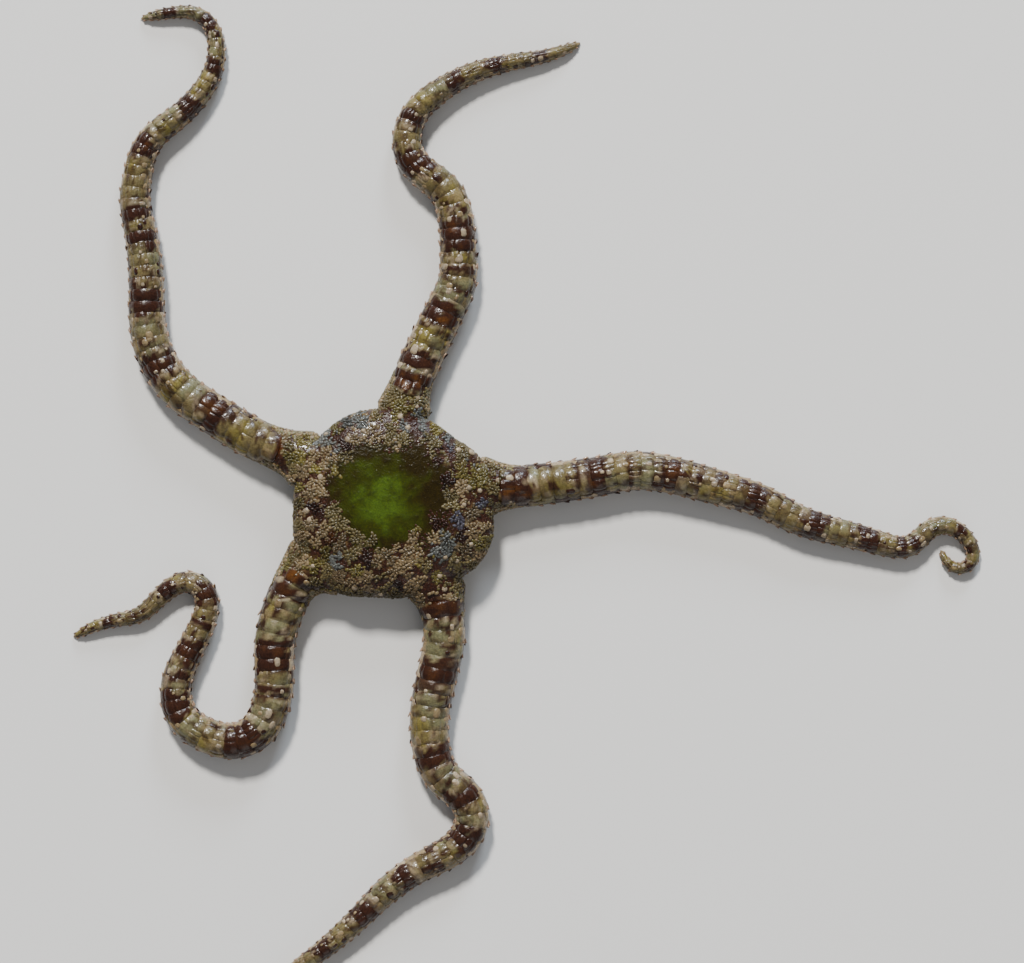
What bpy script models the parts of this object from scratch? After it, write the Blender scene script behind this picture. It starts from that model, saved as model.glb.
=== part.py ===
"""A small brittle star, life size, lying on its underside with its arms spread and bent.

The disc carries five stubs, and each arm goes on from its stub in five lengths. Under the disc
are the mouth's five jaws and the five oral shields between the arms. Everything rests on the
flat underside of the arms, at height 0. The script works in metres, with +Z up.
"""

import math
from dataclasses import dataclass

import bmesh
import bpy

MM = 0.001
SHARP_ANGLE = 50.0  # edges bent further than this stay crisp

# ---------------------------------------------------------------- driving dimensions, mm and degrees

PART_GAP = 0.3  # the thin cut between two neighbouring pieces

# The disc's centre, measured from the middle of the whole animal's footprint.
DISC_CENTRE = (-7.59, 0.88)

# The disc: a low cushion with a flat underside.
DISC_AT_ARMS = 5.35  # radius where an arm leaves
DISC_TOP = 3.1
DISC_WIDEST_AT = 1.65  # height of the rim
DISC_UNDERSIDE = 0.72
DISC_CROWN = 0.62  # under 1 keeps the back flat and the rim round
DISC_BELLY = 0.5
DISC_AROUND = 44
DISC_RINGS = 14

# The mouth: a round pit in the underside, filled by the jaws.
MOUTH_PIT = 2.6  # radius
MOUTH_PIT_SIDES = 30
MOUTH_ROOF = 1.05
JAW_FROM, JAW_TO = 0.42, 2.28  # radii of a jaw's tip and heel
JAW_LOW, JAW_HIGH = 0.14, 0.72
MOUTH_SLIT = 0.34
JAW_ROUNDING = 0.08
JAW_TIP_LEAST = 0.1  # half the width of the narrowest tip
HEEL_CORNER_IN, HEEL_CORNER_OUT = 0.97, 0.5  # shares of a jaw's length and half width

# An oral shield: a rounded plate between two arms.
SHIELD_FROM, SHIELD_TO = 2.85, 4.35  # radii
SHIELD_WIDTH = 1.3
SHIELD_LOW, SHIELD_HIGH = 0.12, 0.4
SHIELD_POINTS = 14
SHIELD_ROUNDING = 0.06
SHIELD_BLUNTNESS = 0.22  # 0 gives an ellipse

# An arm.
ARM_START = 2.4  # radius at which its line starts, under the disc
DISC_EDGE_AT = 3.2  # distance along the line, where the arm leaves the disc
STUB_END_AT = 4.2  # and where the disc's stub ends
INNER_WIDTH = 1.5  # at the mouth
BASE_WIDTH = 2.4
TIP_WIDTH = 0.5
TAPER = 1.8  # over 1 keeps the arm stout to its middle
ROOT_FLARE = 0.9  # extra width at the disc's edge
FLARE_FADE = 0.7
ROOT_RISE = 0.7  # extra height there, which carries the arm's back up onto the disc
RISE_FADE = 1.1
WEB_FADE = 0.9  # how fast the web beside an arm's root narrows
BASE_HEIGHT_SHARE = 0.8  # height over width
TIP_HEIGHT_SHARE = 1.0
WIDEST_HEIGHT_SHARE = 0.42  # height of the widest line over the whole height
BELLY_DROP = 1.25  # over 1 flattens the underside where it meets the floor
SECTION_SIDES = 12
STATION_STEP = 0.45  # over the arm's width there
STUB_STATION_STEP = 0.2
BEND_SMOOTHING = 1.0  # length over which two bends run into each other
SMOOTHING_SHIFTS = (-0.5, -0.25, 0.0, 0.25, 0.5)  # shares of that length
LINE_STEP = 0.05
TIP_ROUNDING = 0.3
TIP_SHRINK = 0.75
LENGTH_SHARES = (0.0, 0.22, 0.42, 0.61, 0.80, 1.0)  # where an arm is divided


@dataclass(frozen=True)
class Arm:
    """One arm: where it leaves the disc, its line as (distance, turn) bends, and its root's web."""

    name: str
    azimuth: float
    bends: tuple
    web: tuple = (0.0, 0.0)  # reach of the web at the disc's edge, at the left and the right


ARMS = (
    Arm("arm_a", 151.0, (
        (2.2, 0), (1.4, 9), (1.5, 0), (2.0, -12), (3.0, -1), (5.0, -49), (1.5, -9), (5.0, 15),
        (1.5, -23), (1.4, -2), (2.6, -46), (3.6, 27), (2.0, 36), (0.6, 4), (2.4, 84), (2.5, 10)),
        (0.25, 0.1)),
    Arm("arm_b", 82.0, (
        (2.6, 0), (1.6, -10), (1.6, -7), (4.2, -2), (1.6, 28), (2.0, 3), (1.2, 6), (2.0, 44),
        (1.0, 0), (2.2, -60), (2.2, -42), (4.0, -25), (2.4, -9), (3.2, 20))),
    Arm("arm_c", 10.0, (
        (2.4, 0), (1.4, -8), (2.4, 5), (2.6, 1), (1.2, 6), (2.6, -22), (1.0, -6), (4.6, -3),
        (1.2, -12), (1.2, 1), (1.8, 14), (4.4, -2), (1.8, 75), (1.9, -84), (1.8, -45),
        (2.2, -166), (0.8, -20)),
        (0.3, 0.1)),
    Arm("arm_d", -57.0, (
        (1.4, 0), (1.6, -20), (1.3, -3), (2.6, -24), (2.4, 2), (3.6, 28), (1.4, 36), (1.0, -3),
        (2.6, -84), (1.6, -28), (1.0, -1), (4.0, 21), (5.2, -12), (5.0, 40)),
        (0.0, 0.25)),
    Arm("arm_e", -143.0, (
        (3.0, 0), (2.4, 31), (0.8, 1), (3.2, 24), (0.5, 0), (2.6, -28), (3.0, -80), (1.5, -15),
        (2.4, -59), (1.8, -29), (2.4, 3), (1.2, 18), (2.6, 130), (1.9, 18), (1.4, -46),
        (3.4, 28)),
        (0.75, 0.25)),
)

# The disc's radius midway between two arms, which is fullest between the arms c and d.
DISC_BETWEEN_ARMS = {"ab": 5.58, "bc": 5.22, "cd": 6.1, "de": 5.25, "ea": 5.45}

# Where the rim swells out beside an arm's root, as (azimuth, reach, half width in degrees).
DISC_SHOULDERS = ((29.0, 0.5, 10.0), (-119.0, 0.45, 11.0), (-162.0, 0.3, 8.0))

# Finishes as (colour, roughness).
DISC_SKIN = ((0.16, 0.15, 0.07), 0.4)
ARM_PLATES = ((0.19, 0.17, 0.07), 0.35)
JAW_PLATES = ((0.42, 0.38, 0.25), 0.45)
ORAL_SHIELDS = ((0.36, 0.33, 0.2), 0.4)


# ---------------------------------------------------------------- an arm's line and section

class ArmLine:
    """The middle line of an arm, seen from above, with the arm's width and height along it."""

    def __init__(self, arm):
        self.knots = [(0.0, arm.azimuth)]
        for run, turn in arm.bends:
            distance, heading = self.knots[-1]
            self.knots.append((distance + run, heading + turn))
        self.length = self.knots[-1][0]
        self.web = arm.web
        self.points = self.walk(arm.azimuth)

    def plain_heading(self, distance):
        """The heading where each turn is spread evenly over its run."""
        distance = min(max(distance, 0.0), self.length)
        for (start, before), (end, after) in zip(self.knots, self.knots[1:]):
            if distance <= end:
                return before + (after - before) * (distance - start) / (end - start)
        return self.knots[-1][1]

    def heading(self, distance):
        """The heading with the changes between bends eased."""
        shifts = [BEND_SMOOTHING * share for share in SMOOTHING_SHIFTS]
        found = [self.plain_heading(distance + shift) for shift in shifts]
        return math.radians(sum(found) / len(found))

    def walk(self, azimuth):
        """Points LINE_STEP apart, from under the disc to the tip."""
        turn = math.radians(azimuth)
        x = DISC_CENTRE[0] + ARM_START * math.cos(turn)
        y = DISC_CENTRE[1] + ARM_START * math.sin(turn)
        points = [(x, y)]
        for step in range(round(self.length / LINE_STEP)):
            heading = self.heading((step + 0.5) * LINE_STEP)
            x += LINE_STEP * math.cos(heading)
            y += LINE_STEP * math.sin(heading)
            points.append((x, y))
        return points

    def point(self, distance):
        """The point at this distance along the line."""
        place = min(max(distance / LINE_STEP, 0.0), len(self.points) - 1)
        index = min(int(place), len(self.points) - 2)
        share = place - index
        (x0, y0), (x1, y1) = self.points[index], self.points[index + 1]
        return x0 + (x1 - x0) * share, y0 + (y1 - y0) * share

    def width(self, distance):
        """The arm's full width."""
        past_edge = distance - DISC_EDGE_AT
        if past_edge < 0:
            inner = distance / DISC_EDGE_AT
            return INNER_WIDTH + (BASE_WIDTH + ROOT_FLARE - INNER_WIDTH) * inner
        share = past_edge / (self.length - DISC_EDGE_AT)
        taper = TIP_WIDTH + (BASE_WIDTH - TIP_WIDTH) * (1 - share ** TAPER)
        return taper + ROOT_FLARE * math.exp(-past_edge / FLARE_FADE)

    def height(self, distance):
        """The arm's height above the floor, from its width without the flare."""
        past_edge = max(distance - DISC_EDGE_AT, 0.0)
        share = past_edge / (self.length - DISC_EDGE_AT)
        width = TIP_WIDTH + (BASE_WIDTH - TIP_WIDTH) * (1 - share ** TAPER)
        height = width * (BASE_HEIGHT_SHARE + (TIP_HEIGHT_SHARE - BASE_HEIGHT_SHARE) * share)
        return height + ROOT_RISE * math.exp(-past_edge / RISE_FADE)

    def web_at(self, distance):
        """How far the web reaches out at the left and the right."""
        past_edge = distance - DISC_EDGE_AT
        share = distance / DISC_EDGE_AT if past_edge < 0 else math.exp(-past_edge / WEB_FADE)
        return [reach * share for reach in self.web]

    def stations(self, start, end, step):
        """Distances from start to end, closer where the arm is thin."""
        found = [start]
        while found[-1] < end:
            found.append(found[-1] + step * self.width(found[-1]))
        stretch = (end - start) / (found[-1] - start)
        return [start + (distance - start) * stretch for distance in found]

    def section_corner(self, distance, corner, shrink=1.0):
        """One corner of the arm's section: a round back over a flat underside."""
        angle = math.tau * corner / SECTION_SIDES
        left, right = self.web_at(distance)
        across = (self.width(distance) + left + right) / 2 * math.cos(angle) * shrink
        across += (left - right) / 2
        height = self.height(distance)
        widest = height * WIDEST_HEIGHT_SHARE
        if math.sin(angle) > 0:
            up = widest + (height - widest) * math.sin(angle) * shrink
        else:
            up = max(widest * (1 + BELLY_DROP * math.sin(angle)), 0.0)
        x, y = self.point(distance)
        heading = self.heading(distance)
        return (
            (x - across * math.sin(heading)) * MM,
            (y + across * math.cos(heading)) * MM,
            up * MM,
        )


# ---------------------------------------------------------------- helpers

def clear_scene():
    """Remove whatever the start-up file holds."""
    for held in list(bpy.data.objects):
        bpy.data.objects.remove(held, do_unlink=True)


def new_collection(name):
    """A collection linked to the scene."""
    made = bpy.data.collections.new(name)
    bpy.context.scene.collection.children.link(made)
    return made


def new_material(name, colour, roughness):
    """A Principled material for something wet and not metallic."""
    material = bpy.data.materials.new(name)
    material.use_nodes = True
    shader = material.node_tree.nodes["Principled BSDF"]
    shader.inputs["Base Color"].default_value = (*colour, 1.0)
    shader.inputs["Roughness"].default_value = roughness
    shader.inputs["Metallic"].default_value = 0.0
    return material


def new_object(name, data, collection, material=None):
    """An object for this mesh or curve, in its collection."""
    made = bpy.data.objects.new(name, data)
    collection.objects.link(made)
    if material:
        data.materials.append(material)
    return made


def hide_cutter(cutter):
    """Keep a helper out of the finished model."""
    cutter.hide_render = True
    cutter.display_type = "WIRE"


def combine(target, helper, operation):
    """Join or cut with a Boolean modifier."""
    modifier = target.modifiers.new(helper.name, "BOOLEAN")
    modifier.object = helper
    modifier.operation = operation
    modifier.solver = "EXACT"


def swept_mesh(name, line, start, end, step=STATION_STEP, blunt_tip=False):
    """The arm's section, pushed along its line from start to end as one closed body."""
    body = bmesh.new()
    corner_of = body.verts.layers.int.new("corner")
    ring = bmesh.ops.create_circle(body, cap_ends=True, radius=1.0, segments=SECTION_SIDES)
    for corner, vertex in enumerate(ring["verts"]):
        vertex[corner_of] = corner
    distances = line.stations(start, end, step)
    if blunt_tip:
        distances[-1:] = [end - TIP_ROUNDING * TIP_WIDTH, end]
    shrinks = [1.0] * len(distances)
    if blunt_tip:
        shrinks[-1] = TIP_SHRINK
    for vertex in ring["verts"]:
        vertex.co = line.section_corner(distances[0], vertex[corner_of])
    leading = list(body.faces)
    inside = []
    for distance, shrink in zip(distances[1:], shrinks[1:]):
        pushed = bmesh.ops.extrude_face_region(body, geom=leading)["geom"]
        bmesh.ops.delete(body, geom=inside, context="FACES_ONLY")
        leading = [item for item in pushed if isinstance(item, bmesh.types.BMFace)]
        inside = leading
        for item in pushed:
            if isinstance(item, bmesh.types.BMVert):
                item.co = line.section_corner(distance, item[corner_of], shrink)
    bmesh.ops.recalc_face_normals(body, faces=body.faces)
    mesh = bpy.data.meshes.new(name)
    body.to_mesh(mesh)
    body.free()
    mesh.shade_smooth()
    mesh.set_sharp_from_angle(angle=math.radians(SHARP_ANGLE))
    return mesh


def plate(name, outline, low, high, rounding, collection, material):
    """A flat plate with rounded edges, from an outline in mm."""
    curve = bpy.data.curves.new(name, "CURVE")
    curve.dimensions = "2D"
    curve.fill_mode = "BOTH"
    curve.bevel_depth = rounding * MM
    curve.bevel_resolution = 1
    curve.extrude = ((high - low) / 2 - rounding) * MM
    spline = curve.splines.new("POLY")
    spline.points.add(len(outline) - 1)
    for point, (x, y) in zip(spline.points, outline):
        point.co = (x * MM, y * MM, 0.0, 1.0)
    spline.use_cyclic_u = True
    made = new_object(name, curve, collection, material)
    made.location = (DISC_CENTRE[0] * MM, DISC_CENTRE[1] * MM, (low + high) / 2 * MM)
    return made


# ---------------------------------------------------------------- the pieces

def gaps_between_arms():
    """(name, azimuth of the middle, half the angle) of each space between two arms."""
    found = []
    for arm, following in zip(ARMS, ARMS[1:] + ARMS[:1]):
        turn = (arm.azimuth - following.azimuth) % 360
        middle = arm.azimuth - turn / 2
        found.append((arm.name[-1] + following.name[-1], middle, turn / 2))
    return found


def disc_radius(azimuth):
    """The disc's radius in this direction."""
    radius = DISC_AT_ARMS
    for name, middle, half in gaps_between_arms():
        off = (azimuth - middle + 180) % 360 - 180
        if abs(off) < half:
            radius += (DISC_BETWEEN_ARMS[name] - DISC_AT_ARMS) * math.cos(math.pi * off / half / 2)
    for middle, reach, spread in DISC_SHOULDERS:
        off = (azimuth - middle + 180) % 360 - 180
        radius += reach * math.exp(-((off / spread) ** 2))
    return radius


def disc_cushion(collection, material):
    """The disc without its stubs: a sphere pressed into a low cushion."""
    mesh = bpy.data.meshes.new("disc")
    body = bmesh.new()
    bmesh.ops.create_uvsphere(body, u_segments=DISC_AROUND, v_segments=DISC_RINGS, radius=1.0)
    for vertex in body.verts:
        latitude = math.asin(max(-1.0, min(1.0, vertex.co.z)))
        azimuth = math.atan2(vertex.co.y, vertex.co.x)
        power = DISC_CROWN if latitude > 0 else DISC_BELLY
        reach = disc_radius(math.degrees(azimuth)) * max(math.cos(latitude), 0.0) ** power
        rise = DISC_TOP if latitude > 0 else DISC_UNDERSIDE
        up = DISC_WIDEST_AT + (rise - DISC_WIDEST_AT) * abs(math.sin(latitude))
        vertex.co = (
            (DISC_CENTRE[0] + reach * math.cos(azimuth)) * MM,
            (DISC_CENTRE[1] + reach * math.sin(azimuth)) * MM,
            up * MM,
        )
    body.to_mesh(mesh)
    body.free()
    mesh.shade_smooth()
    mesh.set_sharp_from_angle(angle=math.radians(SHARP_ANGLE))
    return new_object("disc", mesh, collection, material)


def mouth_pit(collection):
    """The cutter for the round mouth."""
    mesh = bpy.data.meshes.new("mouth_pit")
    body = bmesh.new()
    bmesh.ops.create_cone(
        body, cap_ends=True, segments=MOUTH_PIT_SIDES, radius1=MOUTH_PIT * MM, radius2=MOUTH_PIT * MM,
        depth=2 * MOUTH_ROOF * MM,
    )
    body.to_mesh(mesh)
    body.free()
    pit = new_object("mouth_pit", mesh, collection)
    pit.location = (DISC_CENTRE[0] * MM, DISC_CENTRE[1] * MM, 0.0)
    hide_cutter(pit)
    return pit


def build_disc(collection, helpers, material):
    """The disc with its five stubs and the pit of its mouth."""
    disc = disc_cushion(collection, material)
    for arm in ARMS:
        line = ArmLine(arm)
        stub_mesh = swept_mesh(f"{arm.name}_stub", line, 0.0, STUB_END_AT, STUB_STATION_STEP)
        stub = new_object(f"{arm.name}_stub", stub_mesh, helpers)
        hide_cutter(stub)
        combine(disc, stub, "UNION")
    combine(disc, mouth_pit(helpers), "DIFFERENCE")
    return disc


def build_arm(arm, collection, material):
    """The lengths of one arm, from its stub to its tip."""
    line = ArmLine(arm)
    reach = line.length - STUB_END_AT
    cuts = [STUB_END_AT + share * reach for share in LENGTH_SHARES]
    for number, (start, end) in enumerate(zip(cuts, cuts[1:]), start=1):
        last = end == cuts[-1]
        begin = start + (PART_GAP if number == 1 else PART_GAP / 2)
        finish = end if last else end - PART_GAP / 2
        name = f"{arm.name}_{number}"
        mesh = swept_mesh(name, line, begin, finish, blunt_tip=last)
        new_object(name, mesh, collection, material)


def jaw_outline(half_angle):
    """A wedge that leaves half a slit on each side, with a rounded heel."""
    slope = math.tan(math.radians(half_angle))
    side = MOUTH_SLIT / 2 / math.cos(math.radians(half_angle))
    tip = max(JAW_FROM * slope - side, JAW_TIP_LEAST)
    heel_from = JAW_TO * math.cos(math.radians(half_angle))
    heel = heel_from * slope - side
    corner_at, corner = JAW_TO * HEEL_CORNER_IN, heel * HEEL_CORNER_OUT
    return [
        (JAW_FROM, -tip), (heel_from, -heel), (corner_at, -corner), (JAW_TO, 0.0),
        (corner_at, corner), (heel_from, heel), (JAW_FROM, tip),
    ]


def shield_outline():
    """An egg shape with its blunt end to the rim."""
    middle, half = (SHIELD_FROM + SHIELD_TO) / 2, (SHIELD_TO - SHIELD_FROM) / 2
    outline = []
    for step in range(SHIELD_POINTS):
        angle = math.tau * step / SHIELD_POINTS
        width = SHIELD_WIDTH / 2 * (1 + SHIELD_BLUNTNESS * math.cos(angle))
        outline.append((middle + half * math.cos(angle), width * math.sin(angle)))
    return outline


def build_mouth(collection, jaw_material, shield_material):
    """A jaw and an oral shield between each two arms."""
    for name, middle, half in gaps_between_arms():
        jaw = plate(
            f"jaw_{name}", jaw_outline(half), JAW_LOW, JAW_HIGH, JAW_ROUNDING, collection,
            jaw_material,
        )
        shield = plate(
            f"oral_shield_{name}", shield_outline(), SHIELD_LOW, SHIELD_HIGH, SHIELD_ROUNDING,
            collection, shield_material,
        )
        for piece in (jaw, shield):
            piece.rotation_euler.z = math.radians(middle)


def main():
    """Build the whole animal."""
    clear_scene()
    star = new_collection("brittle_star")
    helpers = new_collection("helpers")
    disc_material = new_material("disc_skin", *DISC_SKIN)
    arm_material = new_material("arm_plates", *ARM_PLATES)
    jaw_material = new_material("jaw_plates", *JAW_PLATES)
    shield_material = new_material("oral_shields", *ORAL_SHIELDS)
    build_disc(star, helpers, disc_material)
    for arm in ARMS:
        build_arm(arm, star, arm_material)
    build_mouth(star, jaw_material, shield_material)


main()
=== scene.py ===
"""A small brittle star, life size, lying on its underside with its arms spread and bent.

One continuous skin stands for the disc and the arms. Over it lies the coat: the broken plates on
the back of each arm, the side plates with their short spines, the belly plates, and the granules
of the disc. Under the disc are the jaws, the mouth's papillae and the shields round them. Sizes
are in millimetres and degrees unless a name says otherwise, and meshes end up in metres.
"""

import logging
import math
import random
from collections.abc import Callable, Iterable, Sequence
from dataclasses import dataclass, field
from enum import Enum

import bmesh
import bpy
import numpy as np
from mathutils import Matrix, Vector, noise
from mathutils.kdtree import KDTree


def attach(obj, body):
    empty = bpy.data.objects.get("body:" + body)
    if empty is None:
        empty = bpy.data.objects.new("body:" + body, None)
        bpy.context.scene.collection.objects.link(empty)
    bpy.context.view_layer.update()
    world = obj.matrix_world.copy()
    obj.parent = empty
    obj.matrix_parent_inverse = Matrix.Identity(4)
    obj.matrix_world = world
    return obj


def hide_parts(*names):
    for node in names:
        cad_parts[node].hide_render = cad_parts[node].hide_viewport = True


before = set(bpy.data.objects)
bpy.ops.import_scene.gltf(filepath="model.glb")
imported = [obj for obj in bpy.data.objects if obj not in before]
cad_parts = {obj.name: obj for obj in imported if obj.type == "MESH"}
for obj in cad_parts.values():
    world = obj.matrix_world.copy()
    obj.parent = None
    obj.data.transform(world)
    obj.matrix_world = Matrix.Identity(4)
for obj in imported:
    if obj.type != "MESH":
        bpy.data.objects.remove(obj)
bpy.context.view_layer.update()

LOG = logging.getLogger("brittle_star")
MM = 0.001
BODY = "root"
Array = np.ndarray
Colour = tuple[float, float, float]


class Pigment(Enum):
    """The animal's colours, and two painted reflections of the sky, as linear light."""

    OLIVE = (0.105, 0.083, 0.035)
    MOSS = (0.122, 0.099, 0.026)
    SAGE = (0.115, 0.108, 0.055)
    SAND = (0.182, 0.132, 0.069)
    CREAM = (0.265, 0.208, 0.138)
    UMBER = (0.024, 0.0084, 0.0046)
    RUST = (0.076, 0.028, 0.006)
    # SLATE is painted reflection: the blue-grey sheen of the sky on the wet disc.
    SLATE = (0.106, 0.110, 0.102)
    # VIOLET is painted reflection: the blue-violet glint of the sky on the wet disc.
    VIOLET = (0.058, 0.053, 0.070)
    LEAF = (0.040, 0.068, 0.006)
    FERN = (0.021, 0.025, 0.0008)
    BARK = (0.014, 0.0090, 0.0006)
    FLESH = (0.285, 0.195, 0.138)

    def linear(self) -> Array:
        """The colour as an array."""
        return np.array(self.value)


Mix = tuple[tuple[Pigment | None, int], ...]
# Painted shade: a plate's or granule's low rim is darkened where it sinks between its neighbours.
RIM_PAINTED_SHADE = np.array([0.84, 0.74, 0.64])  # how dark a plate's rim is beside its crown
# Painted shade: the bare skin is darkened where it lies between and under the plates and granules.
SKIN_PAINTED_SHADE = np.array([0.68, 0.52, 0.42])  # how dark the skin between the plates is beside them


def pick_from(mix: Mix, draw: random.Random) -> Pigment | None:
    """One pigment of a mix, drawn by weight."""
    return draw.choices([pigment for pigment, _ in mix], weights=[weight for _, weight in mix])[0]


def merge(under: Array, over: Array, share: float) -> Array:
    """One colour laid over another by a share."""
    return under + (over - under) * share


# ---------------------------------------------------------------- the animal's form


@dataclass(frozen=True)
class Band:
    """A dark band across an arm: its middle along the arm, its half length and its side."""

    at: float
    reach: float
    side: float = 0.0  # -1 at the arm's right, 1 at its left, 0 across all of it
    amber: float = 0.0  # how much of its middle is orange-brown


@dataclass
class ArmForm:
    """An arm's line seen from above, its section along that line, and its bands."""

    name: str
    azimuth: float
    bends: tuple[tuple[float, float], ...]
    bands: tuple[Band, ...]
    disc_centre: tuple[float, float] = (-7.59, 0.88)
    start_radius: float = 2.4
    edge_at: float = 3.2
    inner_width: float = 1.5
    base_width: float = 2.4
    tip_width: float = 0.5
    taper: float = 1.8
    tip_reach: float = 1.3  # how much of the end is rounded off to a point
    tip_end: float = 0.985
    tip_past: float = 0.03  # how far the last plates may reach past the end
    root_flare: float = 0.9
    flare_fade: float = 0.7
    root_rise: float = 0.7
    rise_fade: float = 1.1
    base_height_share: float = 0.8
    tip_height_share: float = 1.0
    widest_share: float = 0.42
    belly_drop: float = 1.25
    bend_smoothing: float = 1.0
    line_step: float = 0.05
    coat_least: float = 0.03
    coat_share: float = 0.035
    segment_least: float = 0.33
    segment_share: float = 0.165
    web: tuple[float, float] = (0.0, 0.0)  # reach of the root's web at the left and the right
    web_fade: float = 0.9
    plates_from: float = 3.4
    flank_reach: float = 1.5  # how far the disc's granules run on along the arm's flanks
    distances: Array = field(init=False)
    line: Array = field(init=False)
    headings: Array = field(init=False)

    def __post_init__(self) -> None:
        """Walk the line once and keep it as tables."""
        runs = np.array([0.0] + [run for run, _ in self.bends])
        turns = np.array([self.azimuth] + [turn for _, turn in self.bends])
        self.knots = (np.cumsum(runs), np.cumsum(turns))
        steps = round(self.length / self.line_step)
        self.distances = np.arange(steps + 1) * self.line_step
        self.headings = self.heading(self.distances)
        middles = self.heading(self.distances[:-1] + self.line_step / 2)
        turn = math.radians(self.azimuth)
        start = np.array(self.disc_centre) + self.start_radius * np.array([math.cos(turn), math.sin(turn)])
        moves = self.line_step * np.stack([np.cos(middles), np.sin(middles)], axis=1)
        self.line = np.concatenate([[start], start + np.cumsum(moves, axis=0)])

    @property
    def length(self) -> float:
        """The length of the line."""
        return float(self.knots[0][-1])

    def heading(self, along: Array) -> Array:
        """The line's direction in radians, with the changes between bends eased."""
        shifts = self.bend_smoothing * np.array([-0.5, -0.25, 0.0, 0.25, 0.5])
        found = [np.interp(along + shift, *self.knots) for shift in shifts]
        return np.radians(sum(found) / len(found))

    def taper_width(self, along: Array) -> Array:
        """The width without the flare at the root."""
        share = np.clip((along - self.edge_at) / (self.length - self.edge_at), 0.0, 1.0)
        return self.tip_width + (self.base_width - self.tip_width) * (1 - share**self.taper)

    def web_share(self, along: Array) -> Array:
        """How far the root's web still reaches, as a share of its reach at the disc's edge."""
        past = along - self.edge_at
        return np.where(past < 0, along / self.edge_at, np.exp(-np.maximum(past, 0.0) / self.web_fade))

    def shift(self, along: Array) -> Array:
        """How far the section's middle lies to the left of the line."""
        return (self.web[0] - self.web[1]) / 2 * self.web_share(along)

    def width(self, along: Array) -> Array:
        """The full width."""
        past = along - self.edge_at
        flare = self.root_flare * np.exp(-np.maximum(past, 0.0) / self.flare_fade)
        edge = self.base_width + self.root_flare
        inner = self.inner_width + (edge - self.inner_width) * along / self.edge_at
        outer = self.taper_width(along) + flare
        return np.where(past < 0, inner, outer) + sum(self.web) * self.web_share(along)

    def height(self, along: Array) -> Array:
        """The height above the floor."""
        past = np.maximum(along - self.edge_at, 0.0)
        share = np.minimum(past / (self.length - self.edge_at), 1.0)
        rise = self.base_height_share + (self.tip_height_share - self.base_height_share) * share
        return self.taper_width(along) * rise + self.root_rise * np.exp(-past / self.rise_fade)

    def coat_depth(self, along: Array) -> Array:
        """How far the skin lies inside the outline."""
        return self.coat_least + self.coat_share * self.taper_width(along)

    def surface(self, along: Array, around: Array, rise: Array) -> Array:
        """Points on the arm.

        Args:
            along: distances along the line.
            around: angles in the section in radians: 0 at the left, a quarter turn at the back.
            rise: 0 on the skin and 1 at the outline of the coat.

        Returns:
            An array of points, in millimetres.
        """
        along, around, rise = np.broadcast_arrays(along, around, rise)
        lift = (rise - 1) * self.coat_depth(along)
        tall = self.height(along)
        widest = tall * self.widest_share
        sine = np.sin(around)
        across = (self.width(along) / 2 + lift) * np.cos(around) + self.shift(along)
        over = widest + (tall - widest + lift) * sine
        under = np.maximum(widest + (self.belly_drop * widest + lift) * sine, np.maximum(-lift, 0.0))
        up = np.where(sine > 0, over, under)
        near_tip = np.clip((along - self.length + self.tip_reach) / self.tip_reach, 0.0, self.tip_end)
        round_off = np.sqrt(1 - near_tip**2)
        across, up = across * round_off, up * round_off
        x = np.interp(along, self.distances, self.line[:, 0])
        y = np.interp(along, self.distances, self.line[:, 1])
        heading = np.interp(along, self.distances, self.headings)
        past = np.clip(along - self.length, 0.0, self.tip_past)
        x = x + past * np.cos(heading)
        y = y + past * np.sin(heading)
        return np.stack([x - across * np.sin(heading), y + across * np.cos(heading), up], axis=-1)

    def plates_start(self, across: Array | float) -> Array | float:
        """Where the disc's granules give way to plates, by the share of the half width from the middle."""
        return self.plates_from + self.flank_reach * across**2

    def segments(self, start: float) -> list[tuple[float, float]]:
        """The lengths of the arm's joints from start to the tip, shorter where the arm is thin."""
        edges = [start]
        while edges[-1] < self.length - self.tip_width / 2:
            width = float(self.taper_width(np.array(edges[-1])))
            edges.append(edges[-1] + self.segment_least + self.segment_share * width)
        return list(zip(edges, edges[1:]))


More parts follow.
